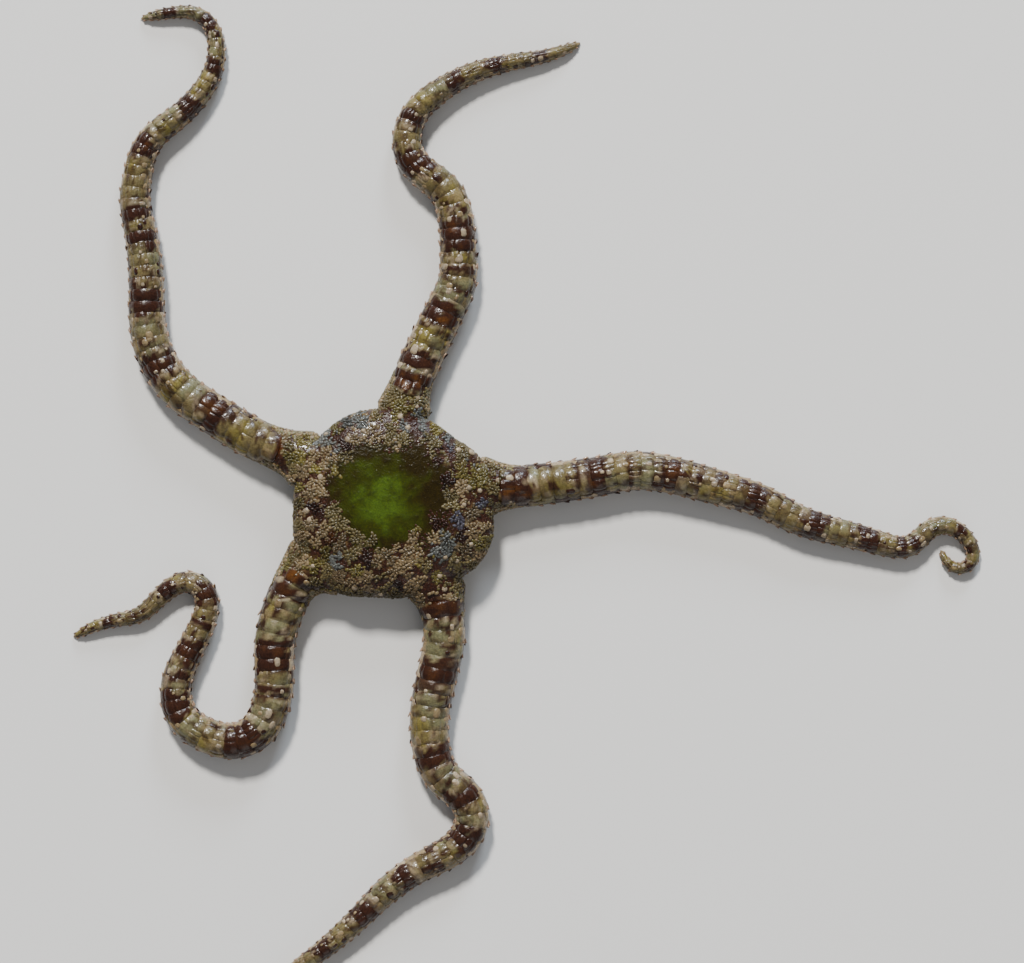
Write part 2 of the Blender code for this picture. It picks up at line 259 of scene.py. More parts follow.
ARMS = (
    ArmForm("arm_a", 151.0, (
        (2.2, 0), (1.4, 9), (1.5, 0), (2.0, -12), (3.0, -1), (5.0, -49), (1.5, -9), (5.0, 15),
        (1.5, -23), (1.4, -2), (2.6, -46), (3.6, 27), (2.0, 36), (0.6, 4), (2.4, 84), (2.5, 10)),
        (Band(4.5, 0.3, 0.3, 1.0), Band(8.7, 0.95, 0.0, 0.5), Band(12.9, 0.8, 0.0, 0.2),
         Band(16.8, 0.95, 0.0, 0.1), Band(20.1, 0.5), Band(21.7, 0.5), Band(25.4, 0.65, 0.0, 0.5),
         Band(28.8, 0.65, 0.0, 0.1), Band(31.5, 0.45), Band(34.1, 0.5), Band(36.5, 0.45)),
        web=(0.25, 0.1), plates_from=4.3),
    ArmForm("arm_b", 82.0, (
        (2.6, 0), (1.6, -10), (1.6, -7), (4.2, -2), (1.6, 28), (2.0, 3), (1.2, 6), (2.0, 44),
        (1.0, 0), (2.2, -60), (2.2, -42), (4.0, -25), (2.4, -9), (3.2, 20)),
        (Band(4.6, 0.7, 0.3, 1.0), Band(5.9, 0.5, 0.2, 0.1), Band(8.4, 0.35, 0.0, 0.9),
         Band(9.1, 0.45, 0.2, 0.2), Band(11.5, 0.25, -0.4), Band(13.4, 1.05, 0.0, 0.5),
         Band(18.3, 0.9, 0.2, 0.2), Band(21.0, 0.5), Band(24.2, 0.55), Band(26.8, 0.45),
         Band(29.4, 0.4)), plates_from=3.7),
    ArmForm("arm_c", 10.0, (
        (2.4, 0), (1.4, -8), (2.4, 5), (2.6, 1), (1.2, 6), (2.6, -22), (1.0, -6), (4.6, -3),
        (1.2, -12), (1.2, 1), (1.8, 14), (4.4, -2), (1.8, 75), (1.9, -84), (1.8, -45),
        (2.2, -166), (0.8, -20)),
        (Band(4.8, 0.95, 0.4, 1.0), Band(8.2, 0.3, 0.8), Band(9.2, 0.7, 0.2, 0.7),
         Band(11.2, 0.2, 0.3, 0.8), Band(13.4, 0.95, 0.1, 0.4), Band(15.1, 0.2, 0.7),
         Band(16.1, 0.2, 0.9), Band(18.3, 0.95, 0.2, 0.4), Band(22.0, 0.75, 0.0, 0.2),
         Band(25.2, 0.6), Band(27.1, 0.35), Band(28.0, 0.3), Band(31.0, 0.3), Band(32.1, 0.3),
         Band(33.3, 0.25)), web=(0.3, 0.1), plates_from=3.85),
    ArmForm("arm_d", -57.0, (
        (1.4, 0), (1.6, -20), (1.3, -3), (2.6, -24), (2.4, 2), (3.6, 28), (1.4, 36), (1.0, -3),
        (2.6, -84), (1.6, -28), (1.0, -1), (4.0, 21), (5.2, -12), (5.0, 40)),
        (Band(4.0, 0.75, 0.0, 1.0), Band(7.9, 0.95, 0.0, 0.3), Band(12.5, 0.7, 0.1, 0.1),
         Band(15.4, 0.7, 0.2, 0.1), Band(18.1, 0.9, -0.2, 0.1), Band(20.0, 0.2, -0.3),
         Band(20.6, 0.2, -0.3), Band(22.1, 0.65), Band(25.2, 0.7, 0.3), Band(28.2, 0.5),
         Band(31.4, 0.45), Band(33.4, 0.3)), web=(0.0, 0.25), plates_from=3.55),
    ArmForm("arm_e", -143.0, (
        (3.0, 0), (2.4, 31), (0.8, 1), (3.2, 24), (0.5, 0), (2.6, -28), (3.0, -80), (1.5, -15),
        (2.4, -59), (1.8, -29), (2.4, 3), (1.2, 18), (2.6, 130), (1.9, 18), (1.4, -46),
        (3.4, 28)),
        (Band(4.1, 0.45, 0.0, 1.0), Band(5.1, 0.45, -0.3, 0.3), Band(8.7, 1.0, 0.0, 0.3),
         Band(10.7, 0.2, -0.4), Band(11.1, 0.2, 0.8), Band(13.9, 1.2, -0.2, 0.2),
         Band(18.7, 0.9, 0.1, 0.1), Band(20.5, 0.35, -0.3), Band(21.9, 0.8, 0.0, 0.2),
         Band(23.7, 0.2, -0.2), Band(25.3, 0.75, 0.2, 0.2), Band(27.9, 0.45, 0.3),
         Band(31.9, 0.35)), web=(0.75, 0.25), plates_from=4.0),
)


@dataclass(frozen=True)
class DiscForm:
    """The disc: a low cushion, fuller between the arms, with a flat underside."""

    centre: tuple[float, float] = (-7.59, 0.88)
    at_arms: float = 5.35
    between_arms: tuple[float, ...] = (5.58, 5.22, 6.1, 5.25, 5.45)  # from arms a and b round to e and a
    shoulders: tuple[tuple[float, float, float], ...] = (
        (29.0, 0.5, 10.0), (-119.0, 0.45, 11.0), (-162.0, 0.3, 8.0))  # azimuth, reach, half width in degrees
    top: float = 3.1
    widest_at: float = 1.65
    underside: float = 0.72
    crown: float = 0.62
    belly: float = 0.5
    mouth_radius: float = 2.6
    mouth_roof: float = 1.05
    coat_depth: float = 0.07
    pole_draw: float = 1.5  # how far the sphere's rings are drawn in to its poles

    def gaps(self) -> list[tuple[str, float, float]]:
        """(name, azimuth of the middle, half the angle) of each space between two arms."""
        found = []
        for arm, following in zip(ARMS, ARMS[1:] + ARMS[:1]):
            turn = (arm.azimuth - following.azimuth) % 360
            found.append((arm.name[-1] + following.name[-1], arm.azimuth - turn / 2, turn / 2))
        return found

    def radius(self, azimuth: Array) -> Array:
        """The disc's radius in these directions, given in degrees."""
        found = np.full_like(azimuth, self.at_arms, dtype=float)
        for (_, middle, half), full in zip(self.gaps(), self.between_arms):
            off = (azimuth - middle + 180) % 360 - 180
            swell = (full - self.at_arms) * np.cos(math.pi * np.clip(off / half, -1, 1) / 2)
            found += np.where(np.abs(off) < half, swell, 0.0)
        for middle, reach, spread in self.shoulders:
            off = (azimuth - middle + 180) % 360 - 180
            found += reach * np.exp(-((off / spread) ** 2))
        return found

    def press(self, unit: Array) -> Array:
        """Points of a unit sphere pressed into the skin of the disc."""
        latitude = np.arcsin(np.clip(unit[:, 2], -1, 1))
        from_pole = (1 - np.abs(latitude) * 2 / math.pi) ** self.pole_draw
        latitude = np.sign(latitude) * (1 - from_pole) * math.pi / 2
        azimuth = np.arctan2(unit[:, 1], unit[:, 0])
        above = latitude > 0
        power = np.where(above, self.crown, self.belly)
        reach = self.radius(np.degrees(azimuth)) - self.coat_depth
        reach = reach * np.maximum(np.cos(latitude), 0.0) ** power
        end = np.where(above, self.top - self.coat_depth, self.underside + self.coat_depth)
        up = self.widest_at + (end - self.widest_at) * np.abs(np.sin(latitude))
        x = self.centre[0] + reach * np.cos(azimuth)
        y = self.centre[1] + reach * np.sin(azimuth)
        return np.stack([x, y, up], axis=1)


DISC = DiscForm()


@dataclass(frozen=True)
class Unwrap:
    """The skin laid out flat: a strip for each arm, and a round map for each face of the disc."""

    margin: float = 0.02
    strip_length: float = 0.96
    strip_height: float = 0.11
    strip_gap: float = 0.01
    map_radius: float = 0.17
    back_middle: tuple[float, float] = (0.2, 0.8)
    belly_middle: tuple[float, float] = (0.6, 0.8)
    disc_reach: float = 7.0
    patch: float = 0.003

    def arm(self, index: int, along: Array, around: Array) -> Array:
        """The place of a point of an arm: along its strip, and round from its belly's middle."""
        turn = ((around + math.pi / 2) % math.tau) / math.tau
        u = self.margin + self.strip_length * along / (ARMS[index].length + 1)
        v = self.margin + index * (self.strip_height + self.strip_gap) + self.strip_height * turn
        return np.stack(np.broadcast_arrays(u, v), axis=-1)

    def disc(self, points: Array, back: bool) -> Array:
        """The place of a point of the disc, seen square on."""
        middle = self.back_middle if back else self.belly_middle
        return np.array(middle) + (points[..., :2] - DISC.centre) / self.disc_reach * self.map_radius


UNWRAP = Unwrap()


# ---------------------------------------------------------------- markings


@dataclass(frozen=True)
class Patch:
    """A patch on the disc's back, by its azimuth and radius, and its size."""

    azimuth: float
    radius: float
    size: float


DISC_PATCHES: dict[Pigment, tuple[Patch, ...]] = {
    Pigment.SAND: (
        Patch(100, 4.1, 0.75), Patch(162, 4.6, 1.3), Patch(171, 3.7, 0.6), Patch(200, 4.4, 1.15),
        Patch(-78, 3.1, 1.25), Patch(-133, 3.1, 0.65), Patch(-1, 4.3, 0.8), Patch(112, 4.5, 0.8),
        Patch(39, 4.2, 0.6), Patch(72, 4.1, 0.5), Patch(-118, 4.7, 0.75), Patch(-20, 5.1, 0.6),
        Patch(-65, 4.5, 0.6), Patch(146, 4.5, 0.6), Patch(12, 3.9, 0.4)),
    # SLATE patches are painted reflection: the sky's sheen on the wet slopes of the disc.
    Pigment.SLATE: (
        Patch(132, 4.65, 0.9), Patch(115, 5.3, 0.7), Patch(70, 4.7, 0.75), Patch(47, 4.7, 0.7),
        Patch(28, 5.2, 0.5), Patch(-4, 4.9, 0.5), Patch(-38, 3.9, 1.0), Patch(-130, 4.4, 0.6)),
    # VIOLET patches are painted reflection of the sky on the wet disc.
    Pigment.VIOLET: (Patch(-14, 4.0, 0.65), Patch(1, 5.0, 0.45), Patch(138, 4.3, 0.35), Patch(40, 4.6, 0.4)),
    Pigment.MOSS: (
        Patch(82, 5.5, 0.75), Patch(13, 5.4, 0.9), Patch(-55, 4.5, 0.6), Patch(-144, 5.0, 0.75),
        Patch(149, 5.7, 0.7)),
    Pigment.UMBER: (
        Patch(-178, 3.9, 0.65), Patch(-115, 3.6, 0.5), Patch(-108, 4.7, 0.65), Patch(-21, 3.1, 0.4),
        Patch(-17, 4.5, 0.6), Patch(124, 4.3, 0.4), Patch(48, 4.0, 0.45), Patch(28, 3.7, 0.55),
        Patch(-81, 4.6, 0.45), Patch(-170, 4.9, 0.4)),
    Pigment.RUST: (Patch(84, 4.4, 0.45), Patch(69, 3.4, 0.5), Patch(-41, 2.7, 0.4), Patch(-150, 3.9, 0.45)),
}


def rough(x: float, y: float, pitch: float, seed: float) -> float:
    """Smooth noise from about -1 to 1, with waves about one pitch apart."""
    return noise.noise(Vector((x / pitch, y / pitch, seed)))


def smooth_step(value: float, low: float, high: float) -> float:
    """0 below low, 1 above high, and eased between."""
    share = min(max((value - low) / (high - low), 0.0), 1.0)
    return share * share * (3 - 2 * share)


@dataclass(frozen=True)
class Grain:
    """How one granule of the disc looks."""

    colour: Array
    outward: tuple[float, float, float]  # the way it points
    tall: float = 1.0
    size: float = 1.0
    drawn: float = 1.0  # how much longer than wide it is


@dataclass(frozen=True)
class DiscMarks:
    """The colours of the disc, as a rule of where a point lies from its centre."""

    green_middle: tuple[float, float] = (0.05, 0.72)
    green_radius: float = 2.85
    green_stretch: float = 1.1  # how much wider than long the green is
    green_rag: float = 0.9
    green_under: float = 0.5  # how far its skin runs on under the granules
    brightest: tuple[float, float] = (-0.4, 0.3)
    leaf_reach: tuple[float, float] = (0.1, 1.9)
    fern_reach: tuple[float, float] = (1.9, 3.3)
    brown_side: tuple[float, float] = (0.75, 0.6)  # the way to the browner side
    brown_depth: float = 0.5
    patch_pull: float = 1.0
    patch_least: float = 0.3
    wander: float = 0.6
    rag: float = 0.5
    cluster: float = 0.75  # how far apart the clusters of granules are
    cluster_warp: float = 0.26
    gap: float = 0.1
    gap_wander: float = 0.36
    bare: float = 0.45  # how often a place in a gap has no granule
    rise: tuple[float, float] = (0.02, 0.34)  # how far inside a cluster its granules reach full height
    own_share: float = 0.15
    tone: float = 0.65
    tone_wander: float = 0.45
    drawn: float = 1.5
    heart: float = 0.8  # how dark the middle of a cluster is beside its fringe
    pebbles_from: float = 3.9
    pebble_share: float = 0.009
    pebble_size: float = 1.7
    belly: Mix = ((Pigment.SAND, 40), (Pigment.OLIVE, 40), (Pigment.SAGE, 14), (Pigment.UMBER, 6))

    def green(self, x: float, y: float, wider: float = 0.0) -> float:
        """How much a point belongs to the green middle."""
        dx, dy = (x - self.green_middle[0]) / self.green_stretch, y - self.green_middle[1]
        edge = self.green_radius + self.green_rag * rough(x, y, 0.9, 3.0) + wider
        return smooth_step(edge - math.hypot(dx, dy), -0.2, 0.3)

    def middle(self, x: float, y: float) -> Array:
        """The colour of the green middle, brightest near its own middle and brown at its rim."""
        off = math.hypot(x - self.brightest[0], y - self.brightest[1])
        off += self.brown_depth * smooth_step(x * self.brown_side[0] + y * self.brown_side[1], 0.6, 2.2)
        off += 1.1 * rough(x, y, 0.9, 11.0) + 1.0 * rough(x, y, 0.42, 12.0)
        inner = merge(Pigment.LEAF.linear(), Pigment.FERN.linear(), smooth_step(off, *self.leaf_reach))
        return merge(inner, Pigment.BARK.linear(), smooth_step(off, *self.fern_reach))

    def skin(self, x: float, y: float) -> Array:
        """The colour of the bare skin of the back."""
        inside, _ = self.clusters(x, y)
        if self.is_shaded_gap(x, y, inside):
            # painted shade: the gaps between the raised clusters are dark brown
            ring = Pigment.UMBER.linear()
        else:
            # painted shade: the ring's skin between the granules is darker than they are
            ring = self.pigment(x, y).linear() * SKIN_PAINTED_SHADE * self.tone
        return merge(ring, self.middle(x, y), self.green(x, y, self.green_under))

    def clusters(self, x: float, y: float) -> tuple[float, Vector]:
        """How far inside its cluster a point is, from 0 at the edge, and the cluster's middle."""
        warped = Vector((
            (x + self.cluster_warp * rough(x, y, 0.35, 21.0)) / self.cluster,
            (y + self.cluster_warp * rough(x, y, 0.35, 22.0)) / self.cluster,
            0.5,
        ))
        reaches, spots = noise.voronoi(warped)
        return reaches[1] - reaches[0], spots[0] * self.cluster

    def is_shaded_gap(self, x: float, y: float, inside: float) -> bool:
        """Whether a point is in the gap between two clusters, which is painted dark brown as shade."""
        return inside < self.gap + self.gap_wander * rough(x, y, 0.9, 31.0)

    def pigment(self, x: float, y: float) -> Pigment:
        """The pigment of the ring round the green middle."""
        best, seed = self.patch_least, 7.0
        plain = rough(x, y, 0.8, 55.0)
        found = Pigment.SAND if plain > 0.2 else Pigment.MOSS if plain < -0.25 else Pigment.OLIVE
        for pigment, patches in DISC_PATCHES.items():
            for patch in patches:
                seed += 1.0
                turn = math.radians(patch.azimuth)
                off = math.hypot(x - patch.radius * math.cos(turn), y - patch.radius * math.sin(turn))
                if off > 2 * patch.size:
                    continue
                score = self.patch_pull - off / patch.size
                score += self.wander * rough(x, y, 0.7, seed) + self.rag * rough(x, y, 0.22, seed + 0.5)
                if score > best:
                    best, found = score, pigment
        return found

    def grain(self, x: float, y: float, draw: random.Random) -> "Grain | None":
        """One granule of the back, or nothing where the skin is bare."""
        inside, middle = self.clusters(x, y)
        if self.green(middle.x, middle.y) > 0.5:
            return None
        outward = (x - middle.x, y - middle.y, 0.0)
        if math.hypot(x, y) > self.pebbles_from and draw.random() < self.pebble_share:
            colour = Pigment.CREAM.linear() * draw.uniform(0.6, 1.0)
            return Grain(colour, outward, self.pebble_size, self.pebble_size, 1.0)
        height = 0.5 + smooth_step(inside, *self.rise)
        if self.is_shaded_gap(x, y, inside):
            if draw.random() < self.bare:
                return None
            # low granules in a gap, painted dark as shade
            return Grain(Pigment.UMBER.linear() * draw.uniform(0.8, 1.6), outward, height * 0.5, 0.8, self.drawn)
        own = draw.random() < self.own_share
        pigment = self.pigment(x, y) if own else self.pigment(middle.x, middle.y)
        tone = self.tone + self.tone_wander * rough(7 * middle.x, 7 * middle.y, 1.0, 41.0)
        tone *= draw.uniform(0.88, 1.12) * (self.heart + (1 - self.heart) * smooth_step(1 - inside, 0.3, 0.9))
        return Grain(pigment.linear() * tone, outward, height, 1.0, self.drawn)


@dataclass(frozen=True)
class Zone:
    """Patches of a pigment, where smooth noise of this pitch is high."""

    pigment: Pigment
    pitch: float
    low: float
    high: float
    strength: float


@dataclass(frozen=True)
class ArmMarks:
    """The colours of an arm, as a rule of how far along it and how far round it a point lies."""

    girth: float = 1.1  # millimetres round the section for each radian
    zones: tuple[Zone, ...] = (
        Zone(Pigment.MOSS, 1.3, 0.04, 0.28, 1.0),
        Zone(Pigment.SAGE, 1.7, 0.0, 0.25, 1.0),
        Zone(Pigment.SAND, 0.55, 0.18, 0.36, 0.6),
        Zone(Pigment.UMBER, 0.38, 0.12, 0.34, 0.55),
        Zone(Pigment.UMBER, 0.5, 0.2, 0.3, 0.95),
    )
    rag: tuple[tuple[float, float], ...] = ((0.9, 0.5), (0.35, 0.34))  # (pitch, depth) of the bands' edges
    band_edge: tuple[float, float] = (0.86, 1.0)
    halo: Zone = Zone(Pigment.CREAM, 0.45, 0.0, 0.22, 0.6)  # pale patches at the bands' edges
    halo_fade: tuple[float, float] = (1.1, 1.5)
    amber_edge: tuple[float, float] = (0.3, 0.75)
    amber_across: tuple[float, float] = (0.3, 0.7)
    amber_patches: tuple[float, float, float] = (0.55, -0.16, 0.2)  # their pitch, and from where they fade in
    side_spread: float = 0.75
    near_band: float = 0.45  # how far from a band's edge its pale beads go
    ground_beads: Mix = ((None, 76), (Pigment.CREAM, 7), (Pigment.SAND, 9), (Pigment.UMBER, 8))
    band_beads: Mix = ((None, 84), (Pigment.CREAM, 11), (Pigment.SAND, 5))
    edge_beads: Mix = ((None, 44), (Pigment.CREAM, 34), (Pigment.SAND, 16), (Pigment.UMBER, 6))

    def patchy(self, along: float, around: float, pitch: float, seed: float) -> float:
        """Smooth noise on the arm's surface, from about -1 to 1."""
        across, up = self.girth * math.cos(around), self.girth * math.sin(around)
        return noise.noise(Vector((along / pitch + seed, across / pitch, up / pitch)))

    def band(self, index: int, along: float, around: float) -> tuple[float, float]:
        """How far past the middle of the nearest band a point is, where 1 is its edge, and its amber."""
        across = math.cos(around)
        nearest, amber = 9.0, 0.0
        for band in ARMS[index].bands:
            off = abs(along - band.at) / band.reach
            narrow = abs(band.side) * max(0.0, abs(across - band.side) - self.side_spread) * 2
            if off + narrow < nearest:
                nearest, amber = off + narrow, band.amber
        for number, (pitch, depth) in enumerate(self.rag):
            nearest += depth * self.patchy(along, around, pitch, 50.0 + 20 * index + number) / 0.6
        return nearest, amber * (1 - smooth_step(abs(across), *self.amber_across))

    def colour(self, index: int, along: float, around: float) -> Array:
        """The colour at a point of an arm."""
        found = Pigment.OLIVE.linear()
        past, amber = self.band(index, along, around)
        for number, zone in enumerate((*self.zones, self.halo)):
            level = self.patchy(along, around, zone.pitch, 20.0 * index + 3.7 * number)
            share = zone.strength * smooth_step(level, zone.low, zone.high)
            if zone is self.halo:
                share *= 1 - smooth_step(past, *self.halo_fade)
            found = merge(found, zone.pigment.linear(), share)
        pitch, low, high = self.amber_patches
        amber *= smooth_step(self.patchy(along, around, pitch, 90.0 + index), low, high)
        amber *= 1 - smooth_step(past, *self.amber_edge)
        brown = merge(Pigment.UMBER.linear(), Pigment.RUST.linear(), amber)
        return merge(brown, found, smooth_step(past, *self.band_edge))

    def bead(self, index: int, along: float, around: float, draw: random.Random) -> Pigment | None:
        """The pigment of the bead that lies here between the larger pieces, if one does."""
        past, _ = self.band(index, along, around)
        if past < 0.8:
            return pick_from(self.band_beads, draw)
        return pick_from(self.edge_beads if past < 1 + self.near_band else self.ground_beads, draw)


DISC_MARKS = DiscMarks()
ARM_MARKS = ArmMarks()


# ---------------------------------------------------------------- modelling by hand


class Bench:
    """Shapes a primitive in edit mode, picking its parts by their place."""

    def __init__(self, add: Callable[..., object], **settings: object) -> None:
        """Add a primitive with nothing else selected.

        Args:
            add: the operator that adds it.
            settings: what the operator is given.
        """
        if bpy.context.object and bpy.context.object.mode != "OBJECT":
            bpy.ops.object.mode_set(mode="OBJECT")
        bpy.ops.object.select_all(action="DESELECT")
        add(**settings)
        self.piece = bpy.context.object
        bpy.ops.object.transform_apply(location=True, rotation=True, scale=True)
        bpy.ops.object.mode_set(mode="EDIT")
        self.pick_none()

    def pick_none(self) -> None:
        """Select nothing."""
        bpy.ops.mesh.select_mode(type="VERT")
        bpy.ops.mesh.select_all(action="DESELECT")

    def pick(self, test: Callable[[Vector], bool], kind: str = "VERT") -> "Bench":
        """Select the vertices, edges or faces whose middle passes the test."""
        self.pick_none()
        bpy.ops.mesh.select_mode(type=kind)
        mesh = bmesh.from_edit_mesh(self.piece.data)
        parts: Iterable = {"VERT": mesh.verts, "EDGE": mesh.edges, "FACE": mesh.faces}[kind]
        for part in parts:
            if kind == "VERT":
                middle = part.co
            elif kind == "EDGE":
                middle = (part.verts[0].co + part.verts[1].co) / 2
            else:
                middle = part.calc_center_median()
            part.select_set(bool(test(middle)))
        bmesh.update_edit_mesh(self.piece.data)
        return self

    def move(self, x: float = 0.0, y: float = 0.0, z: float = 0.0) -> "Bench":
        """Move what is selected."""
        bpy.ops.transform.translate(value=(x, y, z))
        return self

    def resize(self, x: float = 1.0, y: float = 1.0, z: float = 1.0, at: Sequence[float] = (0, 0, 0)) -> "Bench":
        """Resize what is selected about a point."""
        bpy.ops.transform.resize(value=(x, y, z), center_override=tuple(at))
        return self

    def extrude(self, x: float = 0.0, y: float = 0.0, z: float = 0.0) -> "Bench":
        """Pull new faces out of what is selected."""
        bpy.ops.mesh.extrude_region_move(TRANSFORM_OT_translate={"value": (x, y, z)})
        return self

    def bevel(self, offset: float, segments: int) -> "Bench":
        """Round the selected edges."""
        bpy.ops.mesh.bevel(offset=offset, segments=segments, affect="EDGES")
        return self

    def close(self) -> "Bench":
        """Close an open rim with one face."""
        self.pick_none()
        bpy.ops.mesh.select_non_manifold()
        bpy.ops.mesh.edge_face_add()
        return self

    def done(self) -> bpy.types.Object:
        """Turn the faces outwards and leave edit mode."""
        bpy.ops.mesh.select_all(action="SELECT")
        bpy.ops.mesh.normals_make_consistent(inside=False)
        bpy.ops.object.mode_set(mode="OBJECT")
        bpy.ops.object.select_all(action="DESELECT")
        return self.piece


@dataclass(frozen=True)
class Stamp:
    """A shape that is modelled once and copied many times."""

    points: Array
    faces: list[list[int]]
    # edge is a painted-shade mask: the lower a point of the shape, the darker it is painted.
    edge: Array  # 0 on the crown of the shape and 1 at its rim

    @classmethod
    def of(cls, piece: bpy.types.Object, shade: float = 1.0) -> "Stamp":
        """Take the shape off the bench, with how much of the full painted shade its low rim gets."""
        points = np.array([vertex.co for vertex in piece.data.vertices])
        faces = [list(polygon.vertices) for polygon in piece.data.polygons]
        bpy.data.objects.remove(piece, do_unlink=True)
        return cls(points, faces, shade * np.clip(1 - points[:, 2], 0, 1) ** 1.5)


def back_plate(columns: int, side_height: float) -> Stamp:
    """A plate that is rounded along the arm and nearly level across it.

    Args:
        columns: how many faces wide it is.
        side_height: how high it still is one face in from its sides.

    Returns:
        The stamp.
    """
    bench = Bench(
        bpy.ops.mesh.primitive_grid_add, x_subdivisions=columns, y_subdivisions=6, size=2, location=(0, 0, 1))
    bench.pick(lambda p: 0.2 < abs(p.y) < 0.5).resize(z=0.93)
    bench.pick(lambda p: 0.5 < abs(p.y) < 0.8).resize(z=0.68)
    bench.pick(lambda p: 1 - 3 / columns < abs(p.x) < 0.95 and abs(p.y) > 0.5).resize(z=0.8)
    bench.pick(lambda p: 1 - 3 / columns < abs(p.x) < 0.95).resize(x=1.1, z=side_height)
    bench.pick(lambda p: abs(p.x) > 0.95 or abs(p.y) > 0.9).resize(z=0.0)
    bench.pick(lambda p: abs(p.x) > 0.95).resize(y=0.75)
    bench.pick(lambda p: abs(p.x) < 0.5 and abs(p.y) > 0.9).resize(y=1.1)
    return Stamp.of(bench.close().done())


def pebble_plate() -> Stamp:
    """A small domed plate with full, round corners."""
    bench = Bench(bpy.ops.mesh.primitive_uv_sphere_add, segments=12, ring_count=8, radius=1)
    bench.pick(lambda p: p.z < -0.1, "FACE")
    bpy.ops.mesh.delete(type="FACE")
    bench.pick(lambda p: 0.3 < p.z < 0.5).move(z=0.16)
    bench.pick(lambda p: 0.6 < p.z < 0.8).resize(x=1.1, y=1.1).move(z=0.12)
    bench.pick(lambda p: min(abs(p.x), abs(p.y)) > 0.4 * math.hypot(p.x, p.y) and p.z < 0.9).resize(x=1.12, y=1.12)
    return Stamp.of(bench.close().done())


def granule() -> Stamp:
    """A round grain, sunk to its middle."""
    bench = Bench(bpy.ops.mesh.primitive_uv_sphere_add, segments=7, ring_count=6, radius=1)
    bench.pick(lambda p: p.z < -0.4, "FACE")
    bpy.ops.mesh.delete(type="FACE")
    bench.pick(lambda p: p.z < -0.4)
    bpy.ops.mesh.edge_face_add()
    # the granule's low rim gets 0.6 of the painted shade
    return Stamp.of(bench.done(), 0.6)


def peg_spine() -> Stamp:
    """A short blunt spine, from its root at 0 to its tip at 1."""
    bench = Bench(bpy.ops.mesh.primitive_circle_add, vertices=6, radius=0.8, fill_type="NGON")
    bench.pick(lambda p: True, "FACE").extrude(z=0.25).resize(x=1.25, y=1.25)
    bench.extrude(z=0.4).resize(x=0.95, y=0.95)
    bench.extrude(z=0.25).resize(x=0.82, y=0.82)
    bench.extrude(z=0.1).resize(x=0.55, y=0.55)
    return Stamp.of(bench.done())


class Coat:
    """Many copies of stamps, gathered into one mesh."""

    def __init__(self, name: str) -> None:
        """Start an empty coat."""
        self.name = name
        self.count = 0
        self.points: list[Array] = []
        self.faces: list[list[int]] = []
        self.roots: list[Array] = []
        self.tints: list[Array] = []

    def add(self, stamp: Stamp, points: Array, colours: Array, root: Array) -> None:
        """Add one copy.

        Args:
            stamp: the shape.
            points: its points in place, in millimetres.
            colours: its colour, or one for each of its points, before painted shade darkens its rim.
            root: the place of its root on the unwrap.
        """
        self.faces.extend([[self.count + corner for corner in face] for face in stamp.faces])
        self.points.append(points)
        self.count += len(points)
        self.roots.append(root + stamp.points[:, :2] * UNWRAP.patch / 2)
        # painted shade on the low rim of each copy
        self.tints.append(colours * (1 - stamp.edge[:, None] * (1 - RIM_PAINTED_SHADE)))

    def build(self, slot: str, material: bpy.types.Material) -> bpy.types.Object:
        """Make the joined mesh.

        Args:
            slot: not used.
            material: the finish.

        Returns:
            The piece, which rides on the body.
        """
        mesh = bpy.data.meshes.new(self.name)
        mesh.from_pydata((np.concatenate(self.points) * MM).tolist(), [], self.faces)
        corners = np.zeros(len(mesh.loops), dtype=np.int32)
        mesh.loops.foreach_get("vertex_index", corners)
        layer = mesh.uv_layers.new(name="OFBake")
        layer.uv.foreach_set("vector", np.concatenate(self.roots)[corners].astype(np.float32).ravel())
        tint(mesh, np.concatenate(self.tints))
        mesh.shade_smooth()
        mesh.materials.append(material)
        piece = bpy.data.objects.new(self.name, mesh)
        bpy.context.scene.collection.objects.link(piece)
        return settle(piece)


def tint(mesh: bpy.types.Mesh, colours: Array) -> None:
    """Store a colour for each vertex, which the finishes read."""
    attribute = mesh.attributes.new("tint", "FLOAT_COLOR", "POINT")
    full = np.concatenate([colours, np.ones((len(colours), 1))], axis=1)
    attribute.data.foreach_set("color", full.astype(np.float32).ravel())


def settle(piece: bpy.types.Object) -> bpy.types.Object:
    """Let a finished piece ride on the body and report it."""
    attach(piece, BODY)
    piece.data.calc_loop_triangles()
    LOG.info("%s: %d triangles", piece.name, len(piece.data.loop_triangles))
    return piece


# ---------------------------------------------------------------- finishes


